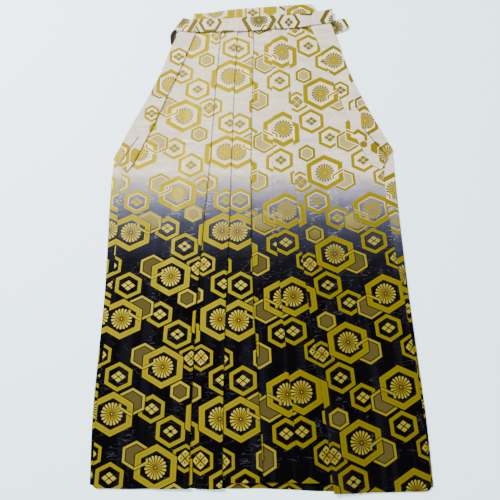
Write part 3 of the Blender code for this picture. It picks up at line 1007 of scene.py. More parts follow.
@dataclass(frozen=True)
class Strip:
    """A folded strip of cloth with soft edges, such as the band or a tie.

    Args:
        name: The CAD node that it stands for.
        rows: X, y of the lower edge, y of the upper edge and height of the underside, mm.
        slot: The record's slot.
        at: Where the repeat's large hexagon falls, x and y, mm.
        cut: The cut of what shows; not used.
        slant: How far the corners of the first end stand to each side, mm.
        slant_run: Distance along the strip over which the slant dies away, mm.
        thick: Its thickness, mm.
        edge: Width over which its edges are rounded, mm.
        rim: Thickness on the very edge, as a share of the full one.
        step: Distance between its stations, mm.
        across: Points across.
    """

    name: str
    rows: tuple[Row, ...]
    slot: str
    at: Place
    cut: Cut
    slant: float = 0.0
    slant_run: float = 30.0
    thick: float = 2.0
    edge: float = 1.6
    rim: float = 0.12
    step: float = 2.0
    across: int = 25

    def shell(self) -> Shell:
        """Upper and lower faces: half the thickness is a quarter ellipse of the distance from the edge.

        Across, the points lie at half of 1 less the cosine of even angles, so they are closer at the edges.

        Returns:
            The shell.
        """
        table = np.array(self.rows)
        count = int((table[-1, 0] - table[0, 0]) / self.step) + 2
        s = np.linspace(table[0, 0], table[-1, 0], count)[:, None]
        low, high, under = (np.interp(s, table[:, 0], table[:, k]) for k in (1, 2, 3))
        t = (1 - np.cos(np.linspace(0.0, np.pi, self.across)))[None] / 2
        lean = self.slant * np.clip(1 - (s - table[0, 0]) / self.slant_run, 0.0, 1.0)
        x = s + lean * (2 * t - 1)
        y = low + (high - low) * t
        sides = (high - low) * np.minimum(t, 1 - t)
        ends = np.minimum(s - table[0, 0], table[-1, 0] - s)
        half = self.thick / 2 * Shell.rounded(np.minimum(sides, ends), self.edge, self.rim)
        middle = under + self.thick / 2 + 0 * t
        cloth = np.stack([-(y - self.at[1]), x - self.at[0]], axis=2) - WOVEN_STEP
        return Shell.slab(self.name, np.stack([x, y, middle], axis=2), half, cloth * MM)

    def build(self, finish: bpy.types.Material) -> Piece:
        """Makes the piece."""
        return Piece(self.shell(), finish, self.slot).declare()


@dataclass(frozen=True)
class TieTurn:
    """The open loop of the tie under its slanted turn.

    Args:
        rows: Y, x of its middle, radius and height of its middle, mm.
        start: Angle where the arc starts, degrees.
        end: Angle where it ends, degrees.
        cut: The cut of what shows; not used.
    """

    rows: tuple[Row, ...] = ((390.0, -160.5, 1.6, 4.85), (380.0, -164.5, 5.2, 5.7), (371.0, -165.5, 6.2, 6.7),
                             (363.0, -167.0, 4.6, 5.1), (357.0, -169.3, 1.6, 2.1))
    start: float = -60.0
    end: float = -200.0
    cut: Cut = Cut(0.020, 0.036, 0.0004, ("front_tie_cloth", "floor"), "folded")

    def middle(self) -> Middle:
        """An arc at each y: x = middle + radius cos a, z = middle + radius sin a.

        Returns:
            The middle surface.
        """
        table = np.array(self.rows)[::-1]
        y = np.linspace(table[0, 0], table[-1, 0], 24)[::-1, None]
        across, radius, height = (np.interp(y, table[:, 0], table[:, k]) for k in (1, 2, 3))
        angle = np.radians(np.linspace(self.start, self.end, 20))[None]
        x = across + radius * np.cos(angle)
        z = height + radius * np.sin(angle)
        y = y + 0 * x
        return Middle(np.stack([x, y, z], axis=2), np.stack([x, y], axis=2) * MM, y * MM)

    def build(self, finish: bpy.types.Material) -> Piece:
        """Makes the piece."""
        # its material is a plain dark brown, painted shade for the inside of the loop
        return Piece(Shell.round("front_tie_turn", self.middle()), finish, "tie_lining").declare()


@dataclass(frozen=True)
class BackBoard:
    """The stiff board at the back waist, which stands out above the band.

    Args:
        foot: Its lower edge, x and y, mm.
        top: Its upper edge, x and y.
        thick: Its thickness, mm.
        edge: Width of its rounded rim, mm.
        rim: Thickness on the very rim, as a share of the full one.
        along: Points along it.
        upwards: Points from its foot to its top.
    """

    foot: tuple[Place, Place] = ((-137.0, 362.07), (125.0, 372.05))
    top: tuple[Place, ...] = ((-129.0, 427.5), (-94.0, 430.0), (-62.0, 436.0), (-30.0, 440.0), (36.0, 445.0),
                              (106.5, 450.5), (119.5, 433.0))
    thick: float = 2.5
    edge: float = 1.6
    rim: float = 0.15
    along: int = 110
    upwards: int = 40

    def shell(self) -> Shell:
        """Upper and lower faces between the foot and the top: the rim's half thickness is an ellipse.

        Points lie evenly along the board, and upwards at half of 1 less the cosine of even angles.

        Returns:
            The shell.
        """
        s = np.linspace(0.0, 1.0, self.along)[:, None]
        t = (1 - np.cos(np.linspace(0.0, np.pi, self.upwards)))[None] / 2
        low = self.foot[0][0] + (self.foot[1][0] - self.foot[0][0]) * s
        high = self.top[0][0] + (self.top[-1][0] - self.top[0][0]) * s
        y_low, y_high = column(self.foot, low), column(self.top, high)
        x = low + (high - low) * t
        y = y_low + (y_high - y_low) * t
        sides = (y_high - y_low) * np.minimum(t, 1 - t)
        ends = (high[-1] - high[0]) * np.minimum(s, 1 - s)
        half = self.thick / 2 * Shell.rounded(np.minimum(sides, ends), self.edge, self.rim)
        points = np.stack([x, y, np.full_like(x, self.thick / 2)], axis=2)
        return Shell.slab("back_board", points, half, np.stack([x, y], axis=2) * MM)

    def build(self, finish: bpy.types.Material) -> Piece:
        """Makes the piece."""
        return Piece(self.shell(), finish, "board_cloth")


class Value:
    """A shader value that can be used in arithmetic."""

    def __init__(self, graph: "Graph", socket: bpy.types.NodeSocket) -> None:
        """Wraps a socket of a graph."""
        self.graph = graph
        self.socket = socket

    def __add__(self, other: "Value | float") -> "Value":
        """Sum."""
        return self.graph.math("ADD", self, other)

    __radd__ = __add__

    def __sub__(self, other: "Value | float") -> "Value":
        """Difference."""
        return self.graph.math("SUBTRACT", self, other)

    def __rsub__(self, other: "Value | float") -> "Value":
        """Difference from a number."""
        return self.graph.math("SUBTRACT", other, self)

    def __mul__(self, other: "Value | float") -> "Value":
        """Product."""
        return self.graph.math("MULTIPLY", self, other)

    __rmul__ = __mul__

    def __truediv__(self, other: "Value | float") -> "Value":
        """Quotient."""
        return self.graph.math("DIVIDE", self, other)

    def __rtruediv__(self, other: "Value | float") -> "Value":
        """A number over this."""
        return self.graph.math("DIVIDE", other, self)

    def __pow__(self, other: "Value | float") -> "Value":
        """Power."""
        return self.graph.math("POWER", self, other)

    def __neg__(self) -> "Value":
        """The opposite."""
        return self.graph.math("MULTIPLY", self, -1.0)

    def __abs__(self) -> "Value":
        """Size without sign."""
        return self.graph.math("ABSOLUTE", self)

    def most(self, other: "Value | float") -> "Value":
        """The larger of two."""
        return self.graph.math("MAXIMUM", self, other)

    def least(self, other: "Value | float") -> "Value":
        """The smaller of two."""
        return self.graph.math("MINIMUM", self, other)

    def held(self) -> "Value":
        """Kept from 0 to 1."""
        return self.most(0.0).least(1.0)

    def below(self, edge: "Value | float", soft: float) -> "Value":
        """1 below an edge and 0 above it, with a soft step of the given width."""
        return ((edge - self) * (1.0 / soft) + 0.5).held()


class Graph:
    """A material's node tree and the few ways in which nodes are added to it."""

    def __init__(self, name: str) -> None:
        """Starts a material with its Principled shader.

        Args:
            name: Its name.
        """
        self.material = bpy.data.materials.new(name)
        self.material.use_nodes = True
        self.tree = self.material.node_tree
        self.shader = self.tree.nodes["Principled BSDF"]

    def feed(self, socket: bpy.types.NodeSocket, value: object) -> None:
        """Links a value into a socket, or sets the socket to a number, vector or colour.

        Args:
            socket: The socket.
            value: The value, number, vector or colour.
        """
        if isinstance(value, Value):
            self.tree.links.new(value.socket, socket)
        elif isinstance(value, tuple) and socket.type == "RGBA" and len(value) == 3:
            socket.default_value = (*value, 1.0)
        else:
            socket.default_value = value

    @staticmethod
    def place_stops(elements: bpy.types.ColorRampElements, stops: list[tuple[float, Colour]]) -> None:
        """Sets a ramp's stops; a new ramp has two, and the others are added.

        Args:
            elements: The ramp's stops.
            stops: Places from 0 to 1, rising, and their colours.
        """
        for index, (at, colour) in enumerate(stops):
            element = elements[index] if index < len(elements) else elements.new(at)
            element.position = at
            element.color = (*colour, 1.0)

    def node(self, kind: str, settings: dict[str, object], inputs: dict[int | str, object]) -> bpy.types.Node:
        """Adds a node.

        Args:
            kind: Its type.
            settings: Its own properties, set first; "stops" are a ramp's places and colours.
            inputs: Values or links for its sockets, by number or name.

        Returns:
            The node.
        """
        made = self.tree.nodes.new(kind)
        for key, value in settings.items():
            if key == "stops":
                self.place_stops(made.color_ramp.elements, value)
            else:
                setattr(made, key, value)
        for key, value in inputs.items():
            self.feed(made.inputs[key], value)
        return made

    def math(self, operation: str, *terms: "Value | float") -> Value:
        """A Math node."""
        made = self.node("ShaderNodeMath", {"operation": operation}, dict(enumerate(terms)))
        return Value(self, made.outputs[0])

    def vector(self, operation: str, *terms: object) -> Value:
        """A Vector Math node; dot product and length give a number.

        Args:
            operation: What it does.
            terms: Its inputs in order.

        Returns:
            Its output.
        """
        inputs = {0: terms[0], "Scale": terms[1]} if operation == "SCALE" else dict(enumerate(terms))
        made = self.node("ShaderNodeVectorMath", {"operation": operation}, inputs)
        number = operation in ("DOT_PRODUCT", "LENGTH")
        return Value(self, made.outputs["Value" if number else "Vector"])

    def mix(self, first: "Value | Colour", second: "Value | Colour", share: "Value | float") -> Value:
        """Colour between two."""
        made = self.node("ShaderNodeMix", {"data_type": "RGBA"}, {0: share, 6: first, 7: second})
        return Value(self, made.outputs[2])

    def parts(self, vector: Value) -> tuple[Value, Value]:
        """X and y of a vector."""
        made = self.node("ShaderNodeSeparateXYZ", {}, {0: vector})
        return Value(self, made.outputs[0]), Value(self, made.outputs[1])

    def noise(self, vector: Value, scale: float, detail: float = 2.0) -> Value:
        """A noise value from 0 to 1.

        Args:
            vector: The place.
            scale: Waves per unit of the place.
            detail: How many finer waves are added.

        Returns:
            The value.
        """
        made = self.node("ShaderNodeTexNoise", {"noise_dimensions": "2D"},
                         {"Vector": vector, "Scale": scale, "Detail": detail})
        return Value(self, made.outputs["Fac"])

    def ramp(self, value: Value, stops: tuple[tuple[float, Colour], ...], low: float, high: float) -> Value:
        """Colour along a value, with stops given in the value's own units.

        Args:
            value: The value.
            stops: Places and colours.
            low: The value at the ramp's start.
            high: The value at its end.

        Returns:
            The colour.
        """
        share = (value - low) / (high - low)
        places = [((place - low) / (high - low), colour) for place, colour in stops]
        made = self.node("ShaderNodeValToRGB", {"stops": places}, {0: share})
        return Value(self, made.outputs[0])


@dataclass(frozen=True)
class Hexagon:
    """One hexagon of the pattern, with corners at the top and bottom.

    Args:
        centre: What fills it.
        x: Place in the repeat, mm.
        y: Place in the repeat, mm.
        half_wide: Half of its width, mm.
        half_high: Half of its height, mm.
        border: Inner edge of its border, as a share of its size.
    """

    centre: Centre
    x: float
    y: float
    half_wide: float
    half_high: float
    border: float


@dataclass(frozen=True)
class Chart:
    """The woven motifs and the size of their repeat.

    Args:
        small: Hexagons that lie under the others.
        linked: Plain hexagons linked with a large one, each with the side on which it passes over.
        large: Hexagons that lie over the others.
        repeat: The repeat, mm.
        folds: Lines of painted shadow along sharp folds, each from one place to another, mm.
    """

    small: tuple[Hexagon, ...]
    linked: tuple[tuple[Hexagon, int], ...]
    large: tuple[Hexagon, ...]
    repeat: float
    folds: tuple[tuple[Place, Place], ...] = ()


WOVEN = Chart(
    (
        Hexagon(Centre.DIAMOND, -71.8, -18.5, 22.2, 23.6, 0.74),
        Hexagon(Centre.DIAMOND, -13.0, -66.5, 21.1, 22.6, 0.73),
        Hexagon(Centre.LEAVES, 20.2, -99.4, 23.4, 24.8, 0.74),
        Hexagon(Centre.FLOWER, 46.2, 15.7, 19.9, 21.4, 0.77),
        Hexagon(Centre.PLAIN, 31.4, -37.7, 15.6, 16.9, 0.73),
    ),
    (
        (Hexagon(Centre.PLAIN, -33.2, 16.3, 20.7, 21.9, 0.82), 1),
        (Hexagon(Centre.PLAIN, -46.0, -57.0, 20.7, 21.9, 0.82), -1),
    ),
    (
        Hexagon(Centre.DAISY, 0.0, 0.0, 33.4, 34.6, 0.72),
        Hexagon(Centre.DAISY, -77.0, -77.0, 33.4, 34.6, 0.72),
    ),
    154.0,
)
RIGHT_PLEAT = Chart(
    (
        Hexagon(Centre.DIAMOND, -154.3, 326.4, 17.8, 20.5, 0.74),
        Hexagon(Centre.PLAIN, -187.6, 253.0, 16.0, 18.0, 0.80),
        Hexagon(Centre.DIAMOND, -200.7, 204.6, 13.8, 19.0, 0.72),
        Hexagon(Centre.BLOCK, -196.0, 173.0, 8.0, 13.0, 0.0),
        Hexagon(Centre.BLOCK, -227.5, 118.0, 11.0, 17.0, 0.0),
        Hexagon(Centre.BLOCK, -249.0, 92.0, 8.5, 8.0, 0.0),
    ),
    (),
    (
        Hexagon(Centre.DAISY, -168.0, 266.4, 27.0, 33.5, 0.73),
        Hexagon(Centre.DAISY, -262.0, 121.0, 24.5, 33.0, 0.73),
    ),
    900.0,
    # painted shadow along a sharp fold, from one place to another, mm
    (((-222.5, 158.0), (-257.0, 99.0)),),
)
LEFT_PLEAT = Chart(
    (
        Hexagon(Centre.LEAVES, 155.7, 254.1, 16.0, 19.5, 0.76),
        Hexagon(Centre.EMPTY, 182.0, 220.6, 13.0, 16.5, 0.70),
        Hexagon(Centre.PLAIN, 194.0, 226.0, 12.5, 17.0, 0.74),
        Hexagon(Centre.BLOCK, 178.0, 282.0, 5.0, 12.0, 0.0),
        Hexagon(Centre.BLOCK, 215.3, 134.7, 9.5, 13.0, 0.0),
    ),
    (),
    (
        Hexagon(Centre.DAISY, 145.7, 318.5, 25.0, 34.0, 0.76),
        Hexagon(Centre.DAISY, 199.0, 189.8, 24.0, 33.0, 0.73),
        Hexagon(Centre.BARE, 179.5, 191.5, 9.5, 24.0, 0.0),
        Hexagon(Centre.EMPTY, 184.5, 150.0, 16.0, 23.0, 0.68),
        Hexagon(Centre.BLOCK, 193.5, 141.5, 6.5, 7.5, 0.0),
        Hexagon(Centre.DAISY, 237.0, 121.0, 17.0, 26.0, 0.73),
    ),
    900.0,
    # painted shadow along a sharp fold, from one place to another, mm
    (((193.0, 175.5), (238.0, 114.5)),),
)
ON_BOARD = Chart(
    (
        Hexagon(Centre.LEAVES, -11.0, 429.0, 15.5, 22.0, 0.80),
        Hexagon(Centre.BLOCK, -41.0, 424.0, 10.0, 22.0, 0.0),
        Hexagon(Centre.BLOCK, 23.5, 437.0, 13.0, 16.0, 0.0),
        Hexagon(Centre.PLAIN, 54.0, 449.0, 12.0, 17.0, 0.66),
        Hexagon(Centre.PLAIN, 49.0, 415.0, 11.0, 11.0, 0.66),
    ),
    (),
    (
        Hexagon(Centre.DAISY, -86.0, 434.0, 40.0, 38.0, 0.60),
        Hexagon(Centre.DAISY, 84.0, 421.0, 28.0, 32.0, 0.66),
    ),
    900.0,
)


@dataclass(frozen=True)
class Yarn:
    """One sort of figure yarn.

    Args:
        on_white: Its colour on the white ground.
        on_black: Its colour on the black ground.
    """

    on_white: Colour
    on_black: Colour


@dataclass(frozen=True)
class Brocade:
    """Woven brocade: gold hexagons on a ground that fades from off-white to black down the garment.

    Args:
        name: Name of the material.
        chart: The motifs.
        ground: The ground's colour at heights on the garment, m.
        gold: The wide borders.
        fine: The narrow borders.
        fill: The plain hexagons.
        pale: The pale line beside the gold.
        tip: The outer part of petals.
        inner: Their inner part.
        deep: The middle of the wide borders.
        shade: The darker threads in the gold.
        shadow: The shadow in a sharp fold.
        satin: Painted sheen: a bluish shine added to the ground in slow streaks.
        weave: Size of a woven step, mm.
        soft: Softness of every edge, mm.
        wider: How much wider small borders are on the white ground, mm.
    """

    name: str
    chart: Chart = WOVEN
    ground: tuple[tuple[float, Colour], ...] = (
        (-0.140, (0.0012, 0.0010, 0.0012)), (-0.078, (0.0030, 0.0027, 0.0042)),
        (-0.044, (0.0088, 0.0088, 0.0145)), (-0.010, (0.0210, 0.0220, 0.0330)),
        (0.012, (0.042, 0.0435, 0.063)), (0.033, (0.072, 0.0715, 0.098)),
        (0.060, (0.165, 0.151, 0.173)), (0.090, (0.362, 0.317, 0.244)),
    )
    gold: Yarn = Yarn((0.222, 0.175, 0.0003), (0.163, 0.138, 0.0040))
    fine: Yarn = Yarn((0.150, 0.122, 0.0006), (0.195, 0.163, 0.0120))
    fill: Yarn = Yarn((0.200, 0.162, 0.060), (0.034, 0.028, 0.0080))
    pale: Yarn = Yarn((0.700, 0.550, 0.260), (0.0030, 0.0025, 0.0024))
    tip: Yarn = Yarn((0.125, 0.100, 0.0068), (0.265, 0.225, 0.027))
    inner: Yarn = Yarn((0.225, 0.172, 0.0030), (0.180, 0.134, 0.0090))
    deep: Yarn = Yarn((0.172, 0.128, 0.0003), (0.118, 0.090, 0.0012))
    shade: Colour = (0.085, 0.056, 0.0004)
    shadow: Colour = (0.018, 0.014, 0.009)
    satin: Colour = (0.0014, 0.0015, 0.0028)
    weave: tuple[float, float] = (0.35, 0.45)
    soft: float = 0.5
    wider: float = 0.75

    def local(self, graph: Graph, cloth: Value, x: float, y: float) -> Value:
        """Place in mm from the nearest copy of a motif.

        Args:
            graph: The material's graph.
            cloth: Place on the cloth, mm.
            x: The motif's place in the repeat, mm.
            y: The same upwards.

        Returns:
            The place from the motif's middle.
        """
        half = self.chart.repeat / 2
        moved = graph.vector("SUBTRACT", cloth, (x, y, 0.0))
        return graph.vector("WRAP", moved, (half, half, 1.0), (-half, -half, -1.0))

    @staticmethod
    def size(graph: Graph, place: Value, hexagon: Hexagon) -> Value:
        """Distance from a hexagon's middle, 1 on its edge: the larger of its two slopes.

        Args:
            graph: The material's graph.
            place: Place from its middle, mm.
            hexagon: The hexagon.

        Returns:
            The distance.
        """
        away = graph.vector("ABSOLUTE", place)
        wide = graph.vector("DOT_PRODUCT", away, (1 / hexagon.half_wide, 0.0, 0.0))
        slant = graph.vector("DOT_PRODUCT", away, (0.5 / hexagon.half_wide, 1 / hexagon.half_high, 0.0))
        return wide.most(slant)

    @staticmethod
    def fold(graph: Graph, cloth: Value, start: Place, end: Place) -> Value:
        """Mask of a painted fold shadow: 1 on a thin straight line, near it and between its ends.

        Args:
            graph: The material's graph.
            cloth: Place on the cloth, mm.
            start: One end of the line.
            end: The other end.

        Returns:
            The share of the line at each place.
        """
        length = math.hypot(end[0] - start[0], end[1] - start[1])
        along = ((end[0] - start[0]) / length, (end[1] - start[1]) / length, 0.0)
        middle = ((start[0] + end[0]) / 2, (start[1] + end[1]) / 2, 0.0)
        moved = graph.vector("SUBTRACT", cloth, middle)
        beside = abs(graph.vector("DOT_PRODUCT", moved, (along[1], -along[0], 0.0)))
        gone = abs(graph.vector("DOT_PRODUCT", moved, along))
        return beside.below(1.0, 0.7) * gone.below(length / 2, 4.0)

    def daisy(self, graph: Graph, place: Value, lay: "Layers") -> None:
        """Eighteen petals round a small dot: angle and distance from the middle.

        Args:
            graph: The material's graph.
            place: Place from the middle, mm.
            lay: The layers so far.
        """
        count, reach, dip = 18, 17.6, 2.2
        radius = graph.vector("LENGTH", place)
        x, y = graph.parts(place)
        turn = graph.math("ARCTAN2", y, x) * (count / (2 * math.pi))
        petal = abs(graph.math("FRACT", turn) - 0.5) * 2
        inside = radius.below(reach - petal * petal * dip, self.soft)
        between = (1.0 - petal) * radius * (math.pi / count)
        line = (0.44 + radius * radius * 0.0034) * (1.0 - lay.light * lay.light * 0.5)
        open_line = between.below(line, 0.3)
        lay.add(graph.mix(lay.inner, lay.tip, (radius * 0.16 - 1.35).held()), inside, 1.0)
        filled = lay.light * (2.0 - radius * 0.145).held()
        lay.add(lay.ground, inside * open_line * (1.0 - filled) * 0.9, 0.3)
        lay.add(lay.ground, radius.below(2.4, 0.5) * (1.0 - filled * 0.6), 0.3)
        lay.add(lay.tip, radius.below(1.3, 0.5), 1.0)

    def diamond(self, graph: Graph, place: Value, lay: "Layers", leaves: bool) -> None:
        """Four small rhombi: where x / a + y / b is less than 1, split where x / a equals y / b.

        Args:
            graph: The material's graph.
            place: Place from the middle, mm.
            lay: The layers so far.
            leaves: Whether the middle is left open.
        """
        half_wide, half_high = 11.8, 9.0
        away = graph.vector("ABSOLUTE", place)
        across = graph.vector("DOT_PRODUCT", away, (1 / half_wide, 0.0, 0.0))
        up = graph.vector("DOT_PRODUCT", away, (0.0, 1 / half_high, 0.0))
        inside = (across + up).below(1.0, 0.06)
        split = abs(across - up).below(0.12 - lay.light * 0.08, 0.05)
        core = (across + up).below(0.34 - lay.light * 0.20 if leaves else 0.16, 0.08)
        lay.add(graph.mix(lay.tip, lay.fine, abs(across - up).held()), inside, 1.0)
        lay.add(lay.ground, inside * split.most(core), 0.3)

    def flower(self, graph: Graph, place: Value, lay: "Layers") -> None:
        """Four broad petals, each with a dot.

        The larger of |x| and |y| plus 0.82 of the smaller is under the reach; the petals are parted
        where the two are nearly equal.

        Args:
            graph: The material's graph.
            place: Place from the middle, mm.
            lay: The layers so far.
        """
        reach, dot_at, dot_size = 12.4, 6.6, 1.3
        x, y = graph.parts(graph.vector("ABSOLUTE", place))
        far, near = x.most(y), x.least(y)
        inside = (far + near * 0.82).below(reach, self.soft)
        beside = far - dot_at
        dot = graph.math("SQRT", beside * beside + near * near).below(dot_size, self.soft)
        lay.add(graph.mix(lay.inner, lay.tip, (far * 0.13 - 0.3).held()), inside, 1.0)
        lay.add(lay.ground, inside * (far - near).below(1.1 - lay.light * 0.5, self.soft), 0.3)
        lay.add(lay.ground, dot * (1.0 - lay.light * 0.75), 0.3)

    def hexagon(self, graph: Graph, cloth: Value, hexagon: Hexagon, lay: "Layers") -> tuple[Value, Value]:
        """Lays one hexagon: clear ground round it, its border, a pale line and what fills it.

        Args:
            graph: The material's graph.
            cloth: Place on the cloth, mm.
            hexagon: The hexagon.
            lay: The layers so far.

        Returns:
            The place from its middle and its size value.
        """
        place = self.local(graph, cloth, hexagon.x, hexagon.y)
        size = self.size(graph, place, hexagon)
        soft = self.soft / hexagon.half_wide
        edge = 1.7 / hexagon.half_wide
        plain = hexagon.centre is Centre.PLAIN
        lay.add(lay.ground, size.below(1.0 + edge, soft), 0.0)
        if hexagon.centre is Centre.BLOCK:
            lay.add(lay.gold, size.below(1.0, soft), 1.0)
        if hexagon.centre in (Centre.BARE, Centre.BLOCK):
            return place, size
        middle, half = (1.0 + hexagon.border) / 2, (1.0 - hexagon.border) / 2
        core = (abs(size - middle) * (-1.0 / half) + 1.0).held() * 0.75
        yarn = lay.fine if plain else graph.mix(lay.gold, lay.deep, core)
        lay.add(yarn, size.below(1.0, soft), 1.0)
        wider = self.wider / hexagon.half_wide
        border = size if hexagon.centre is Centre.DAISY else size + lay.light * wider
        lay.add(lay.pale, border.below(hexagon.border, soft), 0.6)
        inner_edge = hexagon.border - edge * (1.0 - lay.light * 0.45)
        lay.add(lay.fill if plain else lay.ground, border.below(inner_edge, soft), 0.5 if plain else 0.0)
        if hexagon.centre is Centre.DAISY:
            self.daisy(graph, place, lay)
        elif hexagon.centre is Centre.FLOWER:
            self.flower(graph, place, lay)
        elif hexagon.centre in (Centre.DIAMOND, Centre.LEAVES):
            self.diamond(graph, place, lay, hexagon.centre is Centre.LEAVES)
        return place, size

    def material(self) -> bpy.types.Material:
        """Builds the material: the ground, the motifs over it, painted shadow along the sharp folds, and the
        shader.

        Returns:
            The material.
        """
        graph = Graph(self.name)
        raw = Value(graph, graph.node("ShaderNodeUVMap", {"uv_map": UV_NAME}, {}).outputs[0])
        fine = graph.vector("MULTIPLY", raw, (1 / MM, 1 / MM, 0.0))
        cloth = graph.vector("SNAP", fine, (*self.weave, 1.0))
        kept = graph.node("ShaderNodeAttribute", {"attribute_name": FADE_NAME}, {})
        fade = Value(graph, kept.outputs["Fac"])
        level = fade + (graph.noise(fine, 0.035, 3.0) - 0.5) * 0.022
        lay = Layers(graph, self.woven_ground(graph, fine, level))
        self.dye(graph, fade, level, lay)
        self.figures(graph, cloth, lay)
        # painted shadow: a dark line drawn along each sharp fold of the chart
        for start, end in self.chart.folds:
            depth = self.fold(graph, fine, start, end) * 0.92
            lay.colour = graph.mix(lay.colour, self.shadow, depth)
        self.finish(graph, fine, lay)
        return graph.material

    def woven_ground(self, graph: Graph, fine: Value, level: Value) -> Value:
        """The ground: its fade, times slubs, streaks and broad clouds of painted wrinkle shade, plus a
        painted sheen in slow streaks and silver lines.

        Args:
            graph: The material's graph.
            fine: Place on the cloth, mm.
            level: Height on the garment, m.

        Returns:
            Its colour.
        """
        ground = graph.ramp(level, self.ground, self.ground[0][0], self.ground[-1][0])
        slub = graph.noise(graph.vector("MULTIPLY", fine, (0.12, 1.6, 0.0)), 0.5, 3.0)
        streaks = graph.noise(graph.vector("MULTIPLY", fine, (0.16, 1.0, 0.0)), 0.11, 3.0)
        # painted shade: broad soft clouds, lighter and darker, for the shading of slight wrinkles in the
        # cloth
        broad = graph.noise(fine, 0.014, 2.0)
        ground = graph.vector("SCALE", ground, slub * 0.26 + streaks * 0.50 + broad * 0.22 + 0.51)
        # painted sheen: slow streaks of bluish shine added to the ground's colour
        satin = graph.noise(graph.vector("MULTIPLY", fine, (1.0, 0.07, 0.0)), 0.045, 2.0)
        shine = graph.vector("SCALE", self.satin, ((satin - 0.5) * 5.0).held())
        ground = graph.vector("ADD", ground, shine)
        return graph.mix(ground, self.glint(graph, level), self.wisps(graph, fine))

    def dye(self, graph: Graph, fade: Value, level: Value, lay: "Layers") -> None:
        """Gives every yarn its colour: between the one on black and the one on white; all but the fill and
        the pale line are then times a painted sheen, brighter to the left and higher up.

        Args:
            graph: The material's graph.
            fade: Height on the garment, m.
            level: The same with an uneven edge.
            lay: The layers, which keep the colours.
        """
        light = ((level + 0.02) * (1 / 0.09)).held()
        place = Value(graph, graph.node("ShaderNodeTexCoord", {}, {}).outputs["Object"])
        across, down = (graph.parts(place)[0] * 6.0 + 0.4).held(), (fade * -2.4).held()
        # painted light: the yarns are brighter to the left and higher up, towards the key lamp, and duller to
        # the right and lower down
        painted_sheen = 1.0 - across * 0.34 - down * 0.22
        for part in ("gold", "fine", "fill", "pale", "tip", "inner", "deep"):
            yarn = getattr(self, part)
            share = ((level + 0.050) * (1 / 0.095)).held() if part == "fill" else light
            colour = graph.mix(yarn.on_black, yarn.on_white, share)
            setattr(lay, part, colour if part in ("fill", "pale") else graph.vector("SCALE", colour, painted_sheen))
        lay.light = light

    def figures(self, graph: Graph, cloth: Value, lay: "Layers") -> None:
        """Lays the small, linked and large hexagons, then the linked ones' rims where they pass over.

        Args:
            graph: The material's graph.
            cloth: Place on the cloth, mm.
            lay: The layers so far.
        """
        for hexagon in self.chart.small:
            self.hexagon(graph, cloth, hexagon, lay)
        links = []
        for hexagon, way in self.chart.linked:
            place, size = self.hexagon(graph, cloth, hexagon, lay)
            x, y = graph.parts(place)
            over = (x * -way).below(1.0, self.soft) * y.below(-4.0, self.soft)
            links.append((hexagon, size, over))
        for hexagon in self.chart.large:
            self.hexagon(graph, cloth, hexagon, lay)
        for hexagon, size, over in links:
            soft, edge = self.soft / hexagon.half_wide, 1.2 / hexagon.half_wide
            ring = size.below(1.0, soft) * (1.0 - size.below(hexagon.border, soft))
            rim = size.below(1.0 + edge, soft) * (1.0 - size.below(hexagon.border - edge, soft))
            lay.add(lay.pale, rim * over, 0.4)
            lay.add(lay.fine, ring * over, 1.0)

    @staticmethod
    def glint(graph: Graph, level: Value) -> Value:
        """Colour of the thin silvery lines: faint on black, brighter on the grey, near white above.

        Args:
            graph: The material's graph.
            level: Height on the garment, m.

        Returns:
            The colour.
        """
        stops = ((-0.150, (0.014, 0.014, 0.020)), (-0.050, (0.030, 0.031, 0.039)),
                 (0.010, (0.150, 0.155, 0.175)), (0.095, (0.500, 0.450, 0.380)))
        return graph.ramp(level, stops, stops[0][0], stops[-1][0])

    @staticmethod
    def wisps(graph: Graph, fine: Value) -> Value:
        """Thin flowing lines: a narrow band of a stretched noise value, in patches of a slower noise.

        Args:
            graph: The material's graph.
            fine: Place on the cloth, mm.

        Returns:
            1 on the lines.
        """
        bent = graph.vector("ADD", graph.vector("MULTIPLY", fine, (0.30, 1.0, 0.0)), (70.0, 20.0, 0.0))
        value = graph.noise(bent, 0.070, 2.0)
        line = abs(graph.math("FRACT", value * 5.0) - 0.5).below(0.036, 0.04)
        patch = graph.noise(graph.vector("ADD", fine, (310.0, 170.0, 0.0)), 0.026, 1.0)
        return line * (1.0 - patch.below(0.52, 0.08))

    def finish(self, graph: Graph, fine: Value, lay: "Layers") -> None:
        """Feeds the shader: colour with mottled gold, roughness, metal and the weave's relief.

        Args:
            graph: The material's graph.
            fine: Place on the cloth, mm.
            lay: The finished layers.
        """
        mottle = graph.noise(graph.vector("MULTIPLY", fine, (0.5, 1.4, 0.0)), 0.45, 3.0)
        colour = graph.mix(lay.colour, self.shade, lay.raised * ((mottle - 0.47) * 2.6).held() * 0.5)
        threads = graph.noise(graph.vector("MULTIPLY", fine, (0.55, 3.2, 0.0)), 1.0, 2.0)
        ribs = graph.math("SINE", graph.parts(fine)[1] * (2 * math.pi / 0.9)) * 0.5
        height = lay.raised * 1.0 + threads * 0.9 + ribs * 0.22
        bump = graph.node("ShaderNodeBump", {}, {"Strength": 0.30, "Distance": 0.00018, "Height": height})
        graph.feed(graph.shader.inputs["Base Color"], colour)
        graph.feed(graph.shader.inputs["Roughness"], 0.62 - lay.raised * 0.16 + (threads - 0.5) * 0.12)
        graph.feed(graph.shader.inputs["Metallic"], lay.raised * 0.15)
        graph.feed(graph.shader.inputs["Normal"], Value(graph, bump.outputs[0]))
        graph.feed(graph.shader.inputs["Specular IOR Level"], 0.0)


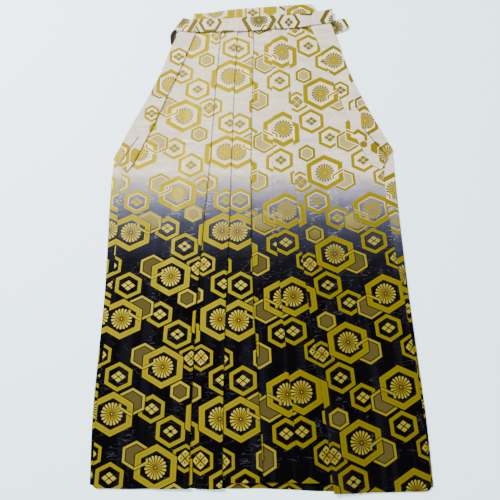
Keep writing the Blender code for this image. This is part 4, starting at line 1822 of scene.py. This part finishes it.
class Layers:
    """The pattern's colour and relief while layer after layer is laid on the ground."""

    def __init__(self, graph: Graph, ground: Value) -> None:
        """Starts with bare ground.

        Args:
            graph: The material's graph.
            ground: The ground's colour.
        """
        self.graph = graph
        self.ground = ground
        self.light: Value | float = 1.0
        self.colour = ground
        self.raised: Value | float = 0.0
        self.gold: Value = ground
        self.fine: Value = ground
        self.fill: Value = ground
        self.pale: Value = ground
        self.tip: Value = ground
        self.inner: Value = ground
        self.deep: Value = ground

    def add(self, colour: Value, mask: Value, raised: float) -> None:
        """Lays a colour and its relief where the mask is 1."""
        self.colour = self.graph.mix(self.colour, colour, mask)
        self.raised = self.raised + (raised - self.raised) * mask


@dataclass(frozen=True)
class Plain:
    """A plain matt cloth or floor.

    Args:
        name: Name of the material.
        colour: Its colour.
        roughness: Its roughness.
        mottle: How much its colour varies.
    """

    name: str
    colour: Colour
    roughness: float = 0.8
    mottle: float = 0.06

    def material(self) -> bpy.types.Material:
        """Builds the material: its colour and a slightly darker one, mixed by a slow noise.

        Returns:
            The material.
        """
        graph = Graph(self.name)
        place = Value(graph, graph.node("ShaderNodeTexCoord", {}, {}).outputs["Object"])
        noise = graph.noise(place, 6.0, 3.0)
        darker = tuple(c * (1 - self.mottle) for c in self.colour)
        graph.feed(graph.shader.inputs["Base Color"], graph.mix(darker, self.colour, noise))
        graph.feed(graph.shader.inputs["Roughness"], self.roughness)
        return graph.material


@dataclass(frozen=True)
class Lamp:
    """A square lamp aimed at the garment's middle.

    Args:
        name: Its name.
        place: Where it hangs, m.
        size: Its side, m.
        power: In watts.
    """

    name: str
    place: Point
    size: float
    power: float

    def build(self) -> bpy.types.Object:
        """Makes the lamp, tilted and turned so that it shines on the middle.

        Returns:
            The lamp.
        """
        data = bpy.data.lights.new(self.name, "AREA")
        data.size = self.size
        data.energy = self.power
        made = bpy.data.objects.new(self.name, data)
        made.location = self.place
        x, y, z = self.place
        made.rotation_euler = (math.atan2(math.hypot(x, y), z), 0.0, math.atan2(x, -y))
        bpy.context.scene.collection.objects.link(made)
        return made


@dataclass(frozen=True)
class Studio:
    """Pale floor, soft light from above and a camera at the photograph's angle.

    Args:
        floor_size: Side of the floor, m.
        camera: Place of the camera, m.
        tilt: How far it leans from straight down, degrees.
        lens: Its focal length, mm, which is also the width of its sensor.
        sky: Strength of the light from all round.
        lamps: The lamps.
    """

    floor_size: float = 8.0
    camera: Point = (-0.0163, -0.2767, 0.85)
    tilt: float = 14.4
    lens: float = 36.0
    sky: float = 1.3
    lamps: tuple[Lamp, ...] = (
        Lamp("key", (-1.5, 1.1, 1.9), 0.9, 265.0),
        Lamp("fill", (1.6, -0.9, 2.2), 2.0, 66.0),
    )

    def floor(self, finish: bpy.types.Material) -> bpy.types.Object:
        """A flat square under the garment, at z = 0.

        Args:
            finish: Its material.

        Returns:
            The object.
        """
        half = self.floor_size / 2
        mesh = bpy.data.meshes.new("floor")
        corners = [(-half, -half, 0.0), (half, -half, 0.0), (half, half, 0.0), (-half, half, 0.0)]
        mesh.from_pydata(corners, [], [(0, 1, 2, 3)])
        mesh.materials.append(finish)
        made = bpy.data.objects.new("floor", mesh)
        bpy.context.scene.collection.objects.link(made)
        return made

    def build(self, finish: bpy.types.Material) -> None:
        """Sets the floor, lamps, sky and camera.

        Args:
            finish: The floor's material.
        """
        objects = [self.floor(finish)] + [lamp.build() for lamp in self.lamps]
        world = bpy.data.worlds.new("sky")
        world.use_nodes = True
        sky = world.node_tree.nodes["Background"]
        sky.inputs["Color"].default_value = (1.0, 1.0, 1.0, 1.0)
        sky.inputs["Strength"].default_value = self.sky
        bpy.context.scene.world = world
        data = bpy.data.cameras.new("camera")
        data.lens = self.lens
        data.sensor_width = self.lens
        data.clip_start = 0.01
        camera = bpy.data.objects.new("camera", data)
        camera.location = self.camera
        camera.rotation_euler = (math.radians(self.tilt), 0.0, 0.0)
        bpy.context.scene.collection.objects.link(camera)
        bpy.context.scene.camera = camera


BAND = (
    (-157.0, 385.4, 412.5, 6.9), (-135.0, 380.3, 409.2, 6.9), (-108.0, 379.6, 409.5, 7.4),
    (-92.0, 379.5, 409.5, 8.9), (-60.0, 379.5, 409.0, 8.9), (-16.0, 381.5, 413.5, 8.9),
    (25.0, 385.5, 416.5, 8.9), (60.0, 387.5, 418.0, 8.9), (86.0, 390.0, 420.5, 8.9),
    (104.0, 395.5, 425.0, 7.4), (120.0, 398.0, 427.5, 6.9), (147.0, 402.0, 433.5, 6.9),
)
REAR_TIE_LEFT = ((126.5, 374.5, 404.0, 0.0), (141.0, 376.5, 410.0, 0.0), (151.0, 379.5, 412.6, 0.1),
                 (162.0, 383.8, 415.2, 0.5), (171.5, 388.0, 415.4, 1.2), (178.7, 395.0, 399.5, 2.0))
REAR_TIE_RIGHT = ((-152.0, 368.0, 398.0, 0.0), (-145.0, 365.5, 399.0, 0.0), (-138.5, 363.5, 400.0, 0.0))


def main() -> None:
    """Builds every piece in order, then the studio."""
    logging.basicConfig(level=logging.INFO, format="%(message)s")
    front = Brocade("brocade_front").material()
    # painted shade: a dimmer copy of the gold, used on the side pleats and the left back, for the shade of
    # the pleats
    pleat_shade_gold = Yarn((0.150, 0.116, 0.0030), (0.140, 0.110, 0.0006))
    olive = Yarn((0.078, 0.063, 0.012), (0.120, 0.095, 0.002))
    soft = {"gold": pleat_shade_gold, "deep": pleat_shade_gold}
    side = Brocade("brocade_side", **soft).material()
    pleat_right = Brocade("brocade_pleat_right", RIGHT_PLEAT, fine=olive, **soft).material()
    pleat_left = Brocade("brocade_pleat_left", LEFT_PLEAT, fine=olive, **soft).material()
    board = Brocade("brocade_board", ON_BOARD, fine=olive).material()
    tie = Brocade("brocade_tie", gold=olive, fine=olive, tip=olive, inner=olive, deep=olive).material()
    # painted shade: a plain dark brown for the inside of the tie's loop, standing for the tie's own cloth in
    # the loop's shade
    painted_loop_shade = Plain("tie_inside", (0.034, 0.021, 0.006), 0.8, 0.5).material()
    floor = Plain("floor", (0.60, 0.763, 0.838), 0.7, 0.01).material()

    pieces = [
        BackLeg(Side.RIGHT, 0.024, -437.5, STRIP_RIGHT, 0.0,
                Cut(0.30, 0.84, 0.208, ("floor",))).build(front),
        BackLeg(Side.LEFT, 0.033, -441.0, STRIP_LEFT, 30.0,
                Cut(0.30, 0.84, 0.2015, ("floor",))).build(side),
        RightFront().build(front),
        LeftFront().build(front),
        SidePleat(Side.RIGHT, (0.328, 0.345, 0.338, 0.358, 0.342), -443.5,
                  Cut(0.09, 0.34, 0.020, ("front_leg_right_cloth",), "folded")).build(pleat_right),
        SidePleat(Side.LEFT, (0.320, 0.340, 0.350, 0.362, 0.337), -450.5,
                  Cut(0.10, 0.34, 0.025, ("front_leg_left_cloth",), "folded")).build(pleat_left),
        BackBoard().build(board),
        Strip("rear_tie_right", REAR_TIE_RIGHT, "rear_tie_cloth", (-200.0, 380.0),
              Cut(0.016, 0.040, 0.0005, ("floor",), "folded")).build(tie),
        Strip("rear_tie_left", REAR_TIE_LEFT, "rear_tie_cloth", (150.0, 394.0),
              Cut(0.042, 0.054, 0.0016, ("floor",), "folded")).build(tie),
        Strip("front_tie", BAND, "tie_cloth", (1.0, 405.6),
              Cut(0.035, 0.325, 0.0099, ("front_leg_right_cloth", "front_leg_left_cloth"), "folded"),
              slant=9.0).build(tie),
        TieTurn().build(painted_loop_shade),
    ]
    for piece in pieces:
        piece.log()
    Studio().build(floor)


if __name__ == "__main__":
    main()
